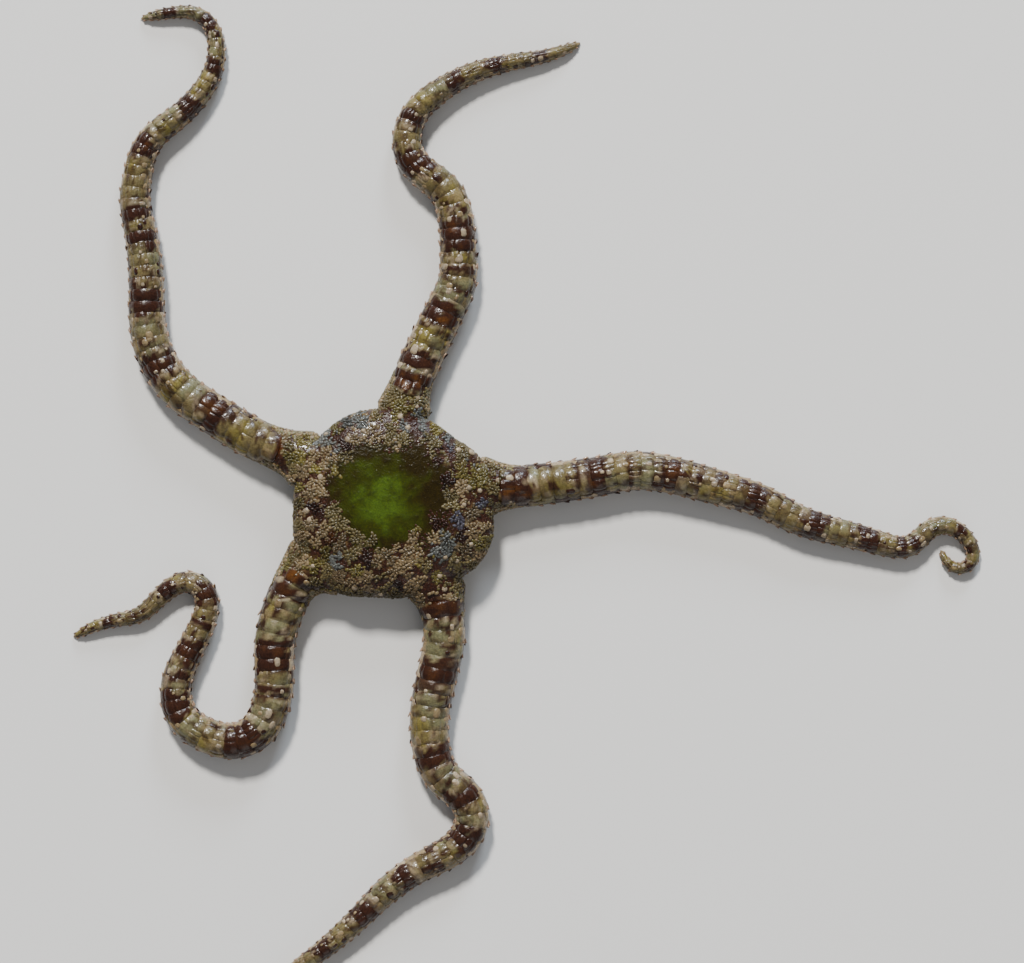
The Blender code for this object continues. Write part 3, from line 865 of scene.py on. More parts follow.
class Wire:
    """A number in a shader, on which sums are written as Python expressions."""

    def __init__(self, paint: "Paint", socket: bpy.types.NodeSocket) -> None:
        """Wrap a socket of this paint."""
        self.paint = paint
        self.socket = socket

    def sum(self, operation: str, *values: "Wire | float", clamp: bool = False) -> "Wire":
        """Add a Math node on these values."""
        made = self.paint.node("ShaderNodeMath", {"operation": operation, "use_clamp": clamp}, dict(enumerate(values)))
        return Wire(self.paint, made.outputs[0])

    def __add__(self, other: "Wire | float") -> "Wire":
        """Sum."""
        return self.sum("ADD", self, other)

    def __radd__(self, other: float) -> "Wire":
        """Sum."""
        return self.sum("ADD", other, self)

    def __sub__(self, other: "Wire | float") -> "Wire":
        """Difference."""
        return self.sum("SUBTRACT", self, other)

    def __rsub__(self, other: float) -> "Wire":
        """Difference."""
        return self.sum("SUBTRACT", other, self)

    def __mul__(self, other: "Wire | float") -> "Wire":
        """Product."""
        return self.sum("MULTIPLY", self, other)

    def __rmul__(self, other: float) -> "Wire":
        """Product."""
        return self.sum("MULTIPLY", other, self)

    def held(self) -> "Wire":
        """The value kept between 0 and 1."""
        return self.sum("ADD", self, 0.0, clamp=True)

    def step(self, low: float, high: float) -> "Wire":
        """0 below low, 1 above high, and eased between."""
        settings = {"interpolation_type": "SMOOTHSTEP"}
        made = self.paint.node("ShaderNodeMapRange", settings, {"Value": self, "From Min": low, "From Max": high})
        return Wire(self.paint, made.outputs["Result"])


class Paint:
    """A Principled material whose nodes are added one call at a time."""

    def __init__(self, name: str) -> None:
        """Start an empty material with its shader."""
        self.material = bpy.data.materials.new(name)
        self.material.use_nodes = True
        self.tree = self.material.node_tree
        self.shader = self.tree.nodes["Principled BSDF"]
        self.place = self.node("ShaderNodeTexCoord", {}, {}).outputs["Object"]

    def node(self, kind: str, settings: dict[str, object], sockets: dict) -> bpy.types.Node:
        """Add a node.

        Args:
            kind: the node's type.
            settings: its own properties, set first.
            sockets: values or links for its sockets, by name or number.

        Returns:
            The node.
        """
        made = self.tree.nodes.new(kind)
        for name, value in settings.items():
            setattr(made, name, value)
        for key, value in sockets.items():
            self.feed(made.inputs[key], value)
        return made

    def feed(self, socket: bpy.types.NodeSocket, value: object) -> None:
        """Set a socket, or link it."""
        if isinstance(value, Wire):
            value = value.socket
        if isinstance(value, bpy.types.NodeSocket):
            self.tree.links.new(value, socket)
        else:
            socket.default_value = value

    def tint(self) -> bpy.types.NodeSocket:
        """The colour that the mesh carries."""
        return self.node("ShaderNodeAttribute", {"attribute_name": "tint"}, {}).outputs["Color"]

    def cloud(self, pitch: float, detail: float = 3.0, roughness: float = 0.6) -> Wire:
        """Noise from 0 to 1 with lumps about this many millimetres apart."""
        sockets = {"Vector": self.place, "Scale": 1 / (pitch * MM), "Detail": detail, "Roughness": roughness}
        return Wire(self, self.node("ShaderNodeTexNoise", {}, sockets).outputs["Fac"])

    def blend(self, share: Wire | float, under: object, over: object, way: str = "MIX") -> bpy.types.NodeSocket:
        """Mix two colours by a share."""
        sockets = {0: share, 6: self.colour(under), 7: self.colour(over)}
        made = self.node("ShaderNodeMix", {"data_type": "RGBA", "blend_type": way}, sockets)
        return made.outputs[2]

    def colour(self, value: object) -> object:
        """A colour with its fourth number, or a link as it is."""
        return (*value, 1.0) if isinstance(value, tuple) else value

    def bump(self, height: Wire, depth: float, strength: float) -> bpy.types.NodeSocket:
        """Fine relief, with its depth in millimetres."""
        made = self.node("ShaderNodeBump", {}, {"Height": height, "Distance": depth * MM, "Strength": strength})
        return made.outputs["Normal"]

    def finish(self, **inputs: object) -> bpy.types.Material:
        """Set the shader's sockets, given by name with _ for a space."""
        for name, value in inputs.items():
            self.feed(self.shader.inputs[name.replace("_", " ")], value)
        return self.material


@dataclass(frozen=True)
class LivingFinish:
    """The wet skin and plates, in the colour that the mesh carries, mottled and a little clear."""

    name: str
    stain: Colour = (0.34, 0.24, 0.16)
    bloom: Colour = (1.9, 1.75, 1.5)
    speck_pitch: float = 0.09
    smudge_pitch: float = 0.32
    speck: float = 0.45
    smudge: float = 0.4
    lift: float = 0.45
    roughness: float = 0.22
    gloss: float = 0.18
    wet: float = 0.2
    wet_roughness: float = 0.04
    relief: float = 0.04
    fine_relief: float = 0.6
    broad_relief: float = 1.6
    clear: float = 0.12
    clear_radius: Colour = (1.0, 0.8, 0.5)
    clear_depth: float = 0.2

    def make(self) -> bpy.types.Material:
        """Build the material."""
        paint = Paint(self.name)
        fine, broad = paint.cloud(self.speck_pitch), paint.cloud(self.smudge_pitch, 2.0)
        colour = paint.blend(broad.step(0.48, 0.72) * self.smudge, paint.tint(), self.stain, "MULTIPLY")
        colour = paint.blend(fine.step(0.52, 0.74) * self.speck, colour, self.stain, "MULTIPLY")
        colour = paint.blend((1 - fine).step(0.50, 0.70) * self.lift, colour, self.bloom, "MULTIPLY")
        return paint.finish(
            Base_Color=colour,
            Roughness=(self.roughness + (fine - 0.5) * 0.25).held(),
            Normal=paint.bump(fine * self.fine_relief + broad * self.broad_relief, self.relief, 0.8),
            Coat_Weight=self.wet,
            Coat_Roughness=self.wet_roughness,
            Specular_IOR_Level=self.gloss,
            Subsurface_Weight=self.clear,
            Subsurface_Radius=self.clear_radius,
            Subsurface_Scale=self.clear_depth * MM,
        )


@dataclass(frozen=True)
class LimeFinish:
    """The pale, damp, finely grained plates of the mouth."""

    name: str
    body: Colour = (0.42, 0.37, 0.22)
    stain: Colour = (0.16, 0.13, 0.06)
    pale: Colour = (0.60, 0.55, 0.38)
    grain_pitch: float = 0.06
    roughness: float = 0.38
    wet: float = 0.5
    wet_roughness: float = 0.12
    relief: float = 0.010

    def make(self) -> bpy.types.Material:
        """Build the material."""
        paint = Paint(self.name)
        fine, broad = paint.cloud(self.grain_pitch), paint.cloud(0.6, 2.0)
        colour = paint.blend(broad.step(0.45, 0.70) * 0.6, self.body, self.stain)
        colour = paint.blend(fine.step(0.50, 0.75) * 0.5, colour, self.pale)
        return paint.finish(
            Base_Color=colour,
            Roughness=(self.roughness + (fine - 0.5) * 0.2).held(),
            Normal=paint.bump(fine, self.relief, 0.5),
            Coat_Weight=self.wet,
            Coat_Roughness=self.wet_roughness,
        )


# ---------------------------------------------------------------- places on the body


@dataclass(frozen=True)
class Places:
    """Where points of the skin lie: on which arm, how far along and how far round."""

    arm: Array  # -1 on the disc
    along: Array
    around: Array

    belly_from: float = 0.3
    belly_height: float = 0.66
    spare: float = 0.25

    @classmethod
    def find(cls, points: Array) -> "Places":
        """Find the place of each point.

        Args:
            points: the points, in millimetres.

        Returns:
            Their places.
        """
        tree = KDTree(sum(len(arm.line) for arm in ARMS))
        owners = []
        for index, arm in enumerate(ARMS):
            for step, (x, y) in enumerate(arm.line):
                tree.insert((x, y, 0.0), len(owners))
                owners.append((index, step))
        tree.balance()
        nearest = np.array([owners[tree.find((x, y, 0.0))[1]] for x, y in points[:, :2]])
        arm_of = np.full(len(points), -1)
        along, around = np.zeros(len(points)), np.zeros(len(points))
        for index, arm in enumerate(ARMS):
            mine = np.nonzero(nearest[:, 0] == index)[0]
            steps = nearest[mine, 1]
            offset = points[mine, :2] - arm.line[steps]
            heading = arm.headings[steps]
            ahead = offset[:, 0] * np.cos(heading) + offset[:, 1] * np.sin(heading)
            side = offset[:, 1] * np.cos(heading) - offset[:, 0] * np.sin(heading)
            reach = arm.distances[steps] + ahead
            side = side - arm.shift(reach)
            half, tall = arm.width(reach) / 2, arm.height(reach)
            widest = tall * arm.widest_share
            rise = points[mine, 2] - widest
            scale = np.where(rise > 0, tall - widest, widest)
            covered = reach > arm.plates_start(np.clip(side / half, -1.0, 1.0))
            covered |= (points[mine, 2] < cls.belly_height) & (reach > cls.belly_from)
            on_arm = covered & (np.abs(side) < half + cls.spare)
            along[mine], around[mine] = reach, np.arctan2(rise / scale, side / half)
            arm_of[mine[on_arm]] = index
        return cls(arm_of, along, around)


def skin_tints(points: Array, places: Places) -> Array:
    """The colours of the bare skin, by the same rules as those of the coat, but darkened by painted shade, as it lies
    between and under the plates.
    """
    found = np.zeros((len(points), 3))
    for number, (point, index) in enumerate(zip(points, places.arm)):
        x, y = point[0] - DISC.centre[0], point[1] - DISC.centre[1]
        if index >= 0:
            # painted shade darkens the arm's skin between its plates
            found[number] = ARM_MARKS.colour(index, places.along[number], places.around[number]) * SKIN_PAINTED_SHADE
        elif point[2] > DISC.widest_at:
            found[number] = DISC_MARKS.skin(x, y)
        else:
            # painted shade darkens the skin under the disc
            found[number] = Pigment.OLIVE.linear() * SKIN_PAINTED_SHADE
    return found


# ---------------------------------------------------------------- the skin


@dataclass
class Skin:
    """The one continuous skin of the disc and the five arms."""

    name: str = "skin"
    sides: int = 26
    station: float = 0.17
    disc_around: int = 120
    disc_rings: int = 64
    tip_shrinks: tuple[float, ...] = (0.92, 0.72, 0.35)
    soften_from: float = 4.0
    soften_to: float = 6.6
    soften_rounds: int = 26
    outline_rounds: int = 7
    piece: bpy.types.Object = field(init=False)

    def arm_tube(self, arm: ArmForm) -> bpy.types.Object:
        """A grid rolled into the skin of an arm, closed at both ends."""
        steps = round(arm.length / self.station)
        bench = Bench(bpy.ops.mesh.primitive_grid_add, x_subdivisions=steps, y_subdivisions=self.sides, size=2)
        bpy.ops.object.mode_set(mode="OBJECT")
        mesh = bench.piece.data
        flat = np.array([vertex.co for vertex in mesh.vertices])
        column = np.rint((flat[:, 0] + 1) / 2 * steps).astype(int)
        along = column / steps * (arm.length - self.station / 2)
        rolled = arm.surface(along, -(flat[:, 1] + 1) * math.pi, np.zeros(len(flat)))
        for back, shrink in enumerate(reversed(self.tip_shrinks)):
            ring = column == steps - back
            rolled[ring] = rolled[ring].mean(axis=0) + (rolled[ring] - rolled[ring].mean(axis=0)) * shrink
        mesh.vertices.foreach_set("co", rolled.astype(np.float32).ravel())
        bpy.ops.object.mode_set(mode="EDIT")
        bpy.ops.mesh.select_all(action="SELECT")
        bpy.ops.mesh.remove_doubles(threshold=0.001)
        bpy.ops.mesh.fill_holes(sides=0)
        return bench.done()

    def disc_body(self) -> bpy.types.Object:
        """The disc without its arms: a sphere pressed into a cushion."""
        bench = Bench(
            bpy.ops.mesh.primitive_uv_sphere_add, segments=self.disc_around, ring_count=self.disc_rings, radius=1
        )
        piece = bench.done()
        unit = np.array([vertex.co for vertex in piece.data.vertices])
        piece.data.vertices.foreach_set("co", DISC.press(unit).astype(np.float32).ravel())
        return piece

    def mouth_cutter(self) -> bpy.types.Object:
        """The round mouth, as a solid to be cut away."""
        place = (*DISC.centre, 0.0)
        bench = Bench(
            bpy.ops.mesh.primitive_cylinder_add, vertices=48, radius=DISC.mouth_radius + 0.04,
            depth=2 * (DISC.mouth_roof + 0.04), location=place,
        )
        bench.pick(lambda p: p.z > 1.0, "EDGE").bevel(0.25, 3)
        return bench.done()

    def combine(self, body: bpy.types.Object, other: bpy.types.Object, operation: str) -> None:
        """Join another solid to the body, or cut it away."""
        modifier = body.modifiers.new(other.name, "BOOLEAN")
        modifier.object, modifier.operation, modifier.solver = other, operation, "EXACT"
        bpy.context.view_layer.objects.active = body
        bpy.ops.object.modifier_apply(modifier=modifier.name)
        bpy.data.objects.remove(other, do_unlink=True)

    def soften(self, body: bpy.types.Object) -> None:
        """Ease the creases where the arms leave the disc."""
        group = body.vertex_groups.new(name="roots")
        for vertex in body.data.vertices:
            reach = math.hypot(vertex.co.x - DISC.centre[0], vertex.co.y - DISC.centre[1])
            inner = smooth_step(reach, self.soften_from, self.soften_from + 0.5)
            outer = smooth_step(reach, self.soften_to - 0.8, self.soften_to)
            group.add([vertex.index], inner * (1 - outer), "REPLACE")
        for name, rounds, level in (("heights", self.soften_rounds, False), ("outline", self.outline_rounds, True)):
            modifier = body.modifiers.new(name, "SMOOTH")
            modifier.vertex_group, modifier.factor, modifier.iterations = group.name, 0.5, rounds
            modifier.use_x = modifier.use_y = level
            bpy.ops.object.modifier_apply(modifier=modifier.name)
        body.vertex_groups.clear()

    def lay_out(self, mesh: bpy.types.Mesh) -> None:
        """Give the skin its own unwrap, which the coats share."""
        mesh.calc_loop_triangles()
        corners = np.zeros(len(mesh.loops), dtype=np.int32)
        mesh.loops.foreach_get("vertex_index", corners)
        points = np.array([vertex.co for vertex in mesh.vertices])
        middles = np.array([polygon.center for polygon in mesh.polygons])
        sizes = np.array([polygon.loop_total for polygon in mesh.polygons])
        face_of = np.repeat(np.arange(len(sizes)), sizes)
        faces, dots = Places.find(middles), Places.find(points)
        arm_of = faces.arm[face_of]
        found = np.zeros((len(corners), 2))
        for index in range(len(ARMS)):
            mine = arm_of == index
            around, middle = dots.around[corners[mine]], faces.around[face_of[mine]]
            start = -math.pi / 2
            turned = (middle - start) % math.tau + (around - middle + math.pi) % math.tau - math.pi
            strip = UNWRAP.arm(index, dots.along[corners[mine]], np.full(len(around), start))
            found[mine] = strip + np.stack([np.zeros(len(turned)), turned], 1) / math.tau * UNWRAP.strip_height
        for back in (True, False):
            mine = (arm_of < 0) & ((middles[face_of][:, 2] > DISC.widest_at) == back)
            found[mine] = UNWRAP.disc(points[corners[mine]], back)
        layer = mesh.uv_layers.new(name="OFBake")
        layer.uv.foreach_set("vector", found.astype(np.float32).ravel())

    def build(self, material: bpy.types.Material) -> bpy.types.Object:
        """Make the skin.

        Args:
            material: the finish.

        Returns:
            The piece, which stands for the disc and all lengths of the arms.
        """
        body = self.disc_body()
        for arm in ARMS:
            self.combine(body, self.arm_tube(arm), "UNION")
        self.combine(body, self.mouth_cutter(), "DIFFERENCE")
        self.soften(body)
        mesh = body.data
        for layer in list(mesh.uv_layers):
            mesh.uv_layers.remove(layer)
        self.lay_out(mesh)
        points = np.array([vertex.co for vertex in mesh.vertices])
        tint(mesh, skin_tints(points, Places.find(points)))
        mesh.vertices.foreach_set("co", (points * MM).astype(np.float32).ravel())
        mesh.shade_smooth()
        mesh.materials.clear()
        mesh.materials.append(material)
        body.name = mesh.name = self.name
        flesh = ["disc"] + [f"{arm.name}_{number}" for arm in ARMS for number in range(1, 6)]
        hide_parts(*flesh)
        self.piece = settle(body)
        return self.piece


# ---------------------------------------------------------------- the arms' coat


class Split(Enum):
    """How the plate on the back of a joint is broken, as the angles between its pieces."""

    WHOLE = (24, 156)
    BROAD = (24, 46, 134, 156)
    LEFT = (24, 50, 98, 156)
    RIGHT = (24, 82, 130, 156)
    HALVES = (24, 48, 92, 132, 156)
    THIRDS = (24, 50, 78, 104, 130, 156)
    MANY = (24, 44, 66, 90, 114, 136, 156)


@dataclass
class ArmCoat:
    """The plates and spines of one arm."""

    index: int
    wobble: float = 11.0  # degrees that a break may stray
    slip: float = 0.07  # share of a joint that the end of a piece may stray
    overlap: float = 1.3  # how far neighbours in a row run into each other
    row_overlap: float = 1.36
    broad_angle: float = 55.0
    near_splits: tuple[int, ...] = (34, 34, 8, 8, 8, 6, 2)
    far_splits: tuple[int, ...] = (8, 14, 12, 12, 20, 20, 14)
    splits_change: tuple[float, float] = (6.0, 14.0)
    own_colour: float = 0.3  # how far a plate beyond there has one colour
    colour_stray: float = 0.22  # how far off it may be taken from, in millimetres and radians
    crests: tuple[float, float] = (0.88, 1.02)
    tones: tuple[float, float] = (0.88, 1.12)
    bead_crest: float = 1.16
    bead_sizes: tuple[float, float] = (0.09, 0.2)  # half widths in millimetres
    sink: float = 0.35
    side_edges: tuple[float, ...] = (-44.0, 4.0, 36.0)  # the edges of a side plate's two nubs
    under_edges: tuple[float, ...] = (-44.0, -22.0)  # and of the one that it has under the disc
    side_crest: float = 0.98
    side_stray: float = 5.0  # degrees that a nub's edges may stray
    side_slip: float = 0.16  # share of a joint that its ends may stray
    spine_angles: tuple[float, ...] = (20.0, 5.0, -10.0, -23.0, -35.0)
    spine_length: float = 0.42  # shares of the joint's length
    spine_width: float = 0.05
    spine_least: float = 0.5
    spine_lean: float = 0.36
    spine_root: float = 0.5
    spine_stop: float = 0.3  # how far before the arm's end the last spines stand
    pale_spines: float = 0.9
    belly_half: float = 31.0
    scale_angle: float = -46.0
    side_mix: Mix = ((None, 38), (Pigment.SAND, 28), (Pigment.CREAM, 14), (Pigment.UMBER, 20))
    belly_mix: Mix = ((Pigment.SAND, 70), (Pigment.CREAM, 20), (Pigment.SAGE, 10))

    def __post_init__(self) -> None:
        """Take the arm and its own source of chance."""
        self.arm = ARMS[self.index]
        self.draw = random.Random(101 + self.index)

    def add(self, coat: Coat, stamp: Stamp, along: tuple[float, float], around: tuple[float, float],
            crest: float, pigment: Pigment | None, tone: float) -> None:
        """Press a stamp onto the arm and add it to a coat.

        Args:
            coat: the coat that it joins.
            stamp: the shape.
            along: where it starts and ends along the arm.
            around: where it starts and ends round the section, in degrees.
            crest: how high its crown rises, where 1 is the outline.
            pigment: its pigment, if it has its own and doesn't carry the arm's pattern.
            tone: what its colour is multiplied by.
        """
        x, y, z = stamp.points.T
        middle, half = sum(along) / 2, (along[1] - along[0]) / 2
        turn, spread = math.radians(sum(around) / 2), math.radians(around[1] - around[0]) / 2
        spots, turns = middle + y * half * self.row_overlap, turn + x * spread * self.overlap
        points = self.arm.surface(spots, turns, -self.sink + z * (crest + self.sink))
        if pigment:
            colours = pigment.linear()
        else:
            colours = np.array([ARM_MARKS.colour(self.index, *place) for place in zip(spots, turns)])
            near, round_ = (self.draw.uniform(-self.colour_stray, self.colour_stray) for _ in range(2))
            own = ARM_MARKS.colour(self.index, middle + near, turn + round_)
            colours = merge(colours, own, self.own_colour * smooth_step(middle, *self.splits_change))
        coat.add(stamp, points, colours * tone, UNWRAP.arm(self.index, np.array(middle), np.array(turn)))

    def back(self, coat: Coat, stamps: tuple[Stamp, Stamp, Stamp], along: tuple[float, float]) -> None:
        """The broken plate on the back of one joint, from broad and small pieces and beads."""
        broad, small, bead = stamps
        joint = along[1] - along[0]
        share = smooth_step(along[0], *self.splits_change)
        weights = [near + (far - near) * share for near, far in zip(self.near_splits, self.far_splits)]
        split = self.draw.choices(list(Split), weights=weights)[0]
        inner = [angle + self.draw.uniform(-self.wobble, self.wobble) for angle in split.value[1:-1]]
        angles = [split.value[0], *inner, split.value[-1]]
        for low, high in zip(angles, angles[1:]):
            near, far = (self.draw.uniform(-self.slip, self.slip) * joint for _ in range(2))
            crest, tone = self.draw.uniform(*self.crests), self.draw.uniform(*self.tones)
            if sum(along) / 2 < self.arm.plates_start(math.cos(math.radians((low + high) / 2))):
                continue
            stamp = broad if high - low > self.broad_angle else small
            self.add(coat, stamp, (along[0] + near, along[1] + far), (low, high), crest, None, tone)
            self.bead(coat, bead, along, self.draw.uniform(low, high))

    def bead(self, coat: Coat, stamp: Stamp, along: tuple[float, float], angle: float) -> None:
        """A small round bead on the back, where the pattern has one."""
        spot = self.draw.uniform(*along)
        pigment = ARM_MARKS.bead(self.index, spot, math.radians(angle), self.draw)
        share = float(self.arm.taper_width(np.array(spot))) / self.arm.base_width
        size = self.draw.uniform(*self.bead_sizes) * (0.4 + 0.6 * share)
        turn = math.degrees(size / (self.arm.base_width / 2 * share)) * self.draw.uniform(0.85, 1.2)
        size *= self.draw.uniform(0.7, 1.35)
        tone = self.draw.uniform(0.7, 1.05)
        if pigment:
            place = (angle - turn, angle + turn)
            self.add(coat, stamp, (spot - size, spot + size), place, self.bead_crest, pigment, tone)

    def side(self, plates: Coat, spines: Coat, pebble: Stamp, peg: Stamp, along: tuple[float, float],
             left: bool, under_disc: bool) -> None:
        """The side plate of one joint in one or two nubs, with its spines."""
        edges = self.under_edges if under_disc else self.side_edges
        joint = along[1] - along[0]
        for low, high in zip(edges, edges[1:]):
            if not under_disc:
                high += self.draw.uniform(-self.side_stray, self.side_stray)
            around = (low, high) if left else (180 - high, 180 - low)
            near, far = (self.draw.uniform(-self.side_slip, self.side_slip) * joint for _ in range(2))
            pigment, crest = pick_from(self.side_mix, self.draw), self.side_crest * self.draw.uniform(0.93, 1.05)
            spot = (along[0] + near, along[1] + far)
            self.add(plates, pebble, spot, around, crest, pigment, self.draw.uniform(*self.tones))
        for angle in self.spine_angles:
            if angle > edges[-1]:
                continue
            jitter = self.draw.uniform(-3, 3)
            at = angle + jitter if left else 180 - angle - jitter
            self.spine(spines, peg, along, math.radians(at))

    def spine(self, coat: Coat, peg: Stamp, along: tuple[float, float], turn: float) -> None:
        """One short spine, which leans back along the arm."""
        joint = along[1] - along[0]
        start = along[0] + joint * self.draw.uniform(0.5, 0.72)
        start = min(start, self.arm.length - self.spine_stop)
        step = 0.02
        spots = np.array([start, start + step, start])
        root, ahead, out = self.arm.surface(spots, np.full(3, turn), np.array([self.spine_root] * 2 + [1.0]))
        forward = (ahead - root) / np.linalg.norm(ahead - root)
        outward = (out - root) / np.linalg.norm(out - root)
        axis = forward + outward * self.spine_lean * self.draw.uniform(0.4, 1.2)
        axis[2] *= 0.5
        axis /= np.linalg.norm(axis)
        across = np.cross(axis, outward)
        across /= np.linalg.norm(across)
        up = np.cross(across, axis)
        length = joint * self.spine_length * self.draw.uniform(0.8, 1.15)
        share = float(self.arm.taper_width(np.array(start))) / self.arm.base_width
        thick = self.spine_width * (self.spine_least + (1 - self.spine_least) * share) * self.draw.uniform(0.85, 1.15)
        x, y, z = peg.points.T
        points = root + np.outer(x * thick, across) + np.outer(y * thick, up) + np.outer(z * length, axis)
        points[:, 2] = np.maximum(points[:, 2], 0.0)
        pigment = Pigment.FLESH if self.draw.random() < self.pale_spines else Pigment.UMBER
        place = UNWRAP.arm(self.index, np.array(start), np.array(turn))
        coat.add(peg, points, pigment.linear() * self.draw.uniform(0.65, 1.2), place)

    def belly(self, coat: Coat, pebble: Stamp, along: tuple[float, float]) -> None:
        """The belly plate of one joint, and the scales that cover its tube feet."""
        pigment, tone = pick_from(self.belly_mix, self.draw), self.draw.uniform(*self.tones)
        around = (-90 - self.belly_half, -90 + self.belly_half)
        self.add(coat, pebble, along, around, 1.0, pigment, tone)
        third = (along[1] - along[0]) / 3
        for angle in (self.scale_angle, -180 - self.scale_angle):
            for start in (along[0] + 0.2 * third, along[0] + 1.5 * third):
                spot = (start, start + 1.3 * third)
                self.add(coat, pebble, spot, (angle - 5, angle + 5), 0.9, Pigment.CREAM, tone)

    def tip(self, coat: Coat, pebble: Stamp) -> None:
        """The last little plates, which close the end of the arm."""
        end = self.arm.length
        for low in range(-90, 270, 60):
            spot = (end - self.arm.tip_width * 0.6, end - self.arm.tip_width * 0.12)
            self.add(coat, pebble, spot, (low, low + 58), 0.7, Pigment.SAND, 1.0)

    def build(self, material: bpy.types.Material) -> None:
        """Make the coat of this arm.

        Args:
            material: the finish.
        """
        pebble, peg = pebble_plate(), peg_spine()
        stamps = (back_plate(10, 0.9), back_plate(6, 0.93), pebble)
        name = self.arm.name
        back, side = Coat(f"{name}_back_plates"), Coat(f"{name}_side_plates")
        spines, belly = Coat(f"{name}_spines"), Coat(f"{name}_belly_plates")
        under = self.arm.segments(Places.belly_from)
        under = [joint for joint in under if joint[1] < self.arm.plates_from]
        for along in under:
            self.belly(belly, pebble, along)
            for left in (True, False):
                self.side(side, spines, pebble, peg, along, left, True)
        for along in self.arm.segments(under[-1][1]):
            self.back(back, stamps, along)
            self.belly(belly, pebble, along)
            low = sum(along) / 2 < self.arm.plates_start(1.0)
            for left in (True, False):
                self.side(side, spines, pebble, peg, along, left, low)
        self.tip(back, pebble)
        for coat in (back, side, spines, belly):
            coat.build("arm_plates", material)


# ---------------------------------------------------------------- the disc's coat


@dataclass
class DiscCoat:
    """The granules that cover the disc."""

    spacing: float = 0.12
    grain: float = 0.112
    height: float = 0.065
    stray: float = 0.1
    tries: int = 90000
    seed: int = 7

    def roots(self, skin: bpy.types.Object) -> tuple[Array, Array]:
        """Points on the skin of the disc, none closer than the spacing, with their normals."""
        mesh = skin.data
        mesh.calc_loop_triangles()
        points = np.array([vertex.co for vertex in mesh.vertices]) / MM
        corners = np.array([triangle.vertices for triangle in mesh.loop_triangles])
        a, b, c = points[corners[:, 0]], points[corners[:, 1]], points[corners[:, 2]]
        cross = np.cross(b - a, c - a)
        area = np.linalg.norm(cross, axis=1)
        places = Places.find((a + b + c) / 3)
        middle = (a + b + c) / 3
        in_mouth = np.hypot(*(middle[:, :2] - DISC.centre).T) < DISC.mouth_radius + 0.1
        area = np.where((places.arm < 0) & ~(in_mouth & (middle[:, 2] < DISC.widest_at)), area, 0.0)
        draw = np.random.default_rng(self.seed)
        chosen = draw.choice(len(corners), self.tries, p=area / area.sum())
        u, v = draw.random(self.tries), draw.random(self.tries)
        u, v = np.where(u + v > 1, 1 - u, u), np.where(u + v > 1, 1 - v, v)
        spots = a[chosen] + u[:, None] * (b - a)[chosen] + v[:, None] * (c - a)[chosen]
        normals = (cross / np.maximum(np.linalg.norm(cross, axis=1), 1e-12)[:, None])[chosen]
        kept, cells = [], {}
        for number, spot in enumerate(spots):
            cell = tuple(np.floor(spot / self.spacing).astype(int))
            near = (
                other
                for dx in (-1, 0, 1) for dy in (-1, 0, 1) for dz in (-1, 0, 1)
                for other in cells.get((cell[0] + dx, cell[1] + dy, cell[2] + dz), ())
            )
            if all(np.dot(spot - spots[other], spot - spots[other]) > self.spacing**2 for other in near):
                cells.setdefault(cell, []).append(number)
                kept.append(number)
        return spots[kept], normals[kept]

    def build(self, skin: bpy.types.Object, material: bpy.types.Material) -> None:
        """Make the granules of the back and of the belly.

        Args:
            skin: the finished skin.
            material: the finish.
        """
        grain = granule()
        draw = random.Random(self.seed)
        coats = {True: Coat("disc_back_granules"), False: Coat("disc_belly_granules")}
        for spot, normal in zip(*self.roots(skin)):
            back = spot[2] > DISC.widest_at
            dx, dy = spot[0] - DISC.centre[0], spot[1] - DISC.centre[1]
            if back:
                found = DISC_MARKS.grain(dx, dy, draw)
            else:
                found = Grain(pick_from(DISC_MARKS.belly, draw).linear() * draw.uniform(0.7, 1.3), (dx, dy, 0.0))
            if not found:
                continue
            other = np.cross(normal, np.array(found.outward) + [draw.gauss(0, self.stray) for _ in range(3)])
            other /= np.linalg.norm(other)
            side = np.cross(other, normal)
            size = self.grain * found.size * draw.uniform(0.75, 1.2)
            tall = self.height * found.tall * draw.uniform(0.7, 1.25)
            long, wide = size * math.sqrt(found.drawn), size / math.sqrt(found.drawn)
            x, y, z = grain.points.T
            points = spot + np.outer(x * long, side) + np.outer(y * wide, other) + np.outer(z * tall, normal)
            coats[back].add(grain, points, found.colour, UNWRAP.disc(spot, back))
        for coat in coats.values():
            coat.build("disc_skin", material)


# ---------------------------------------------------------------- the mouth


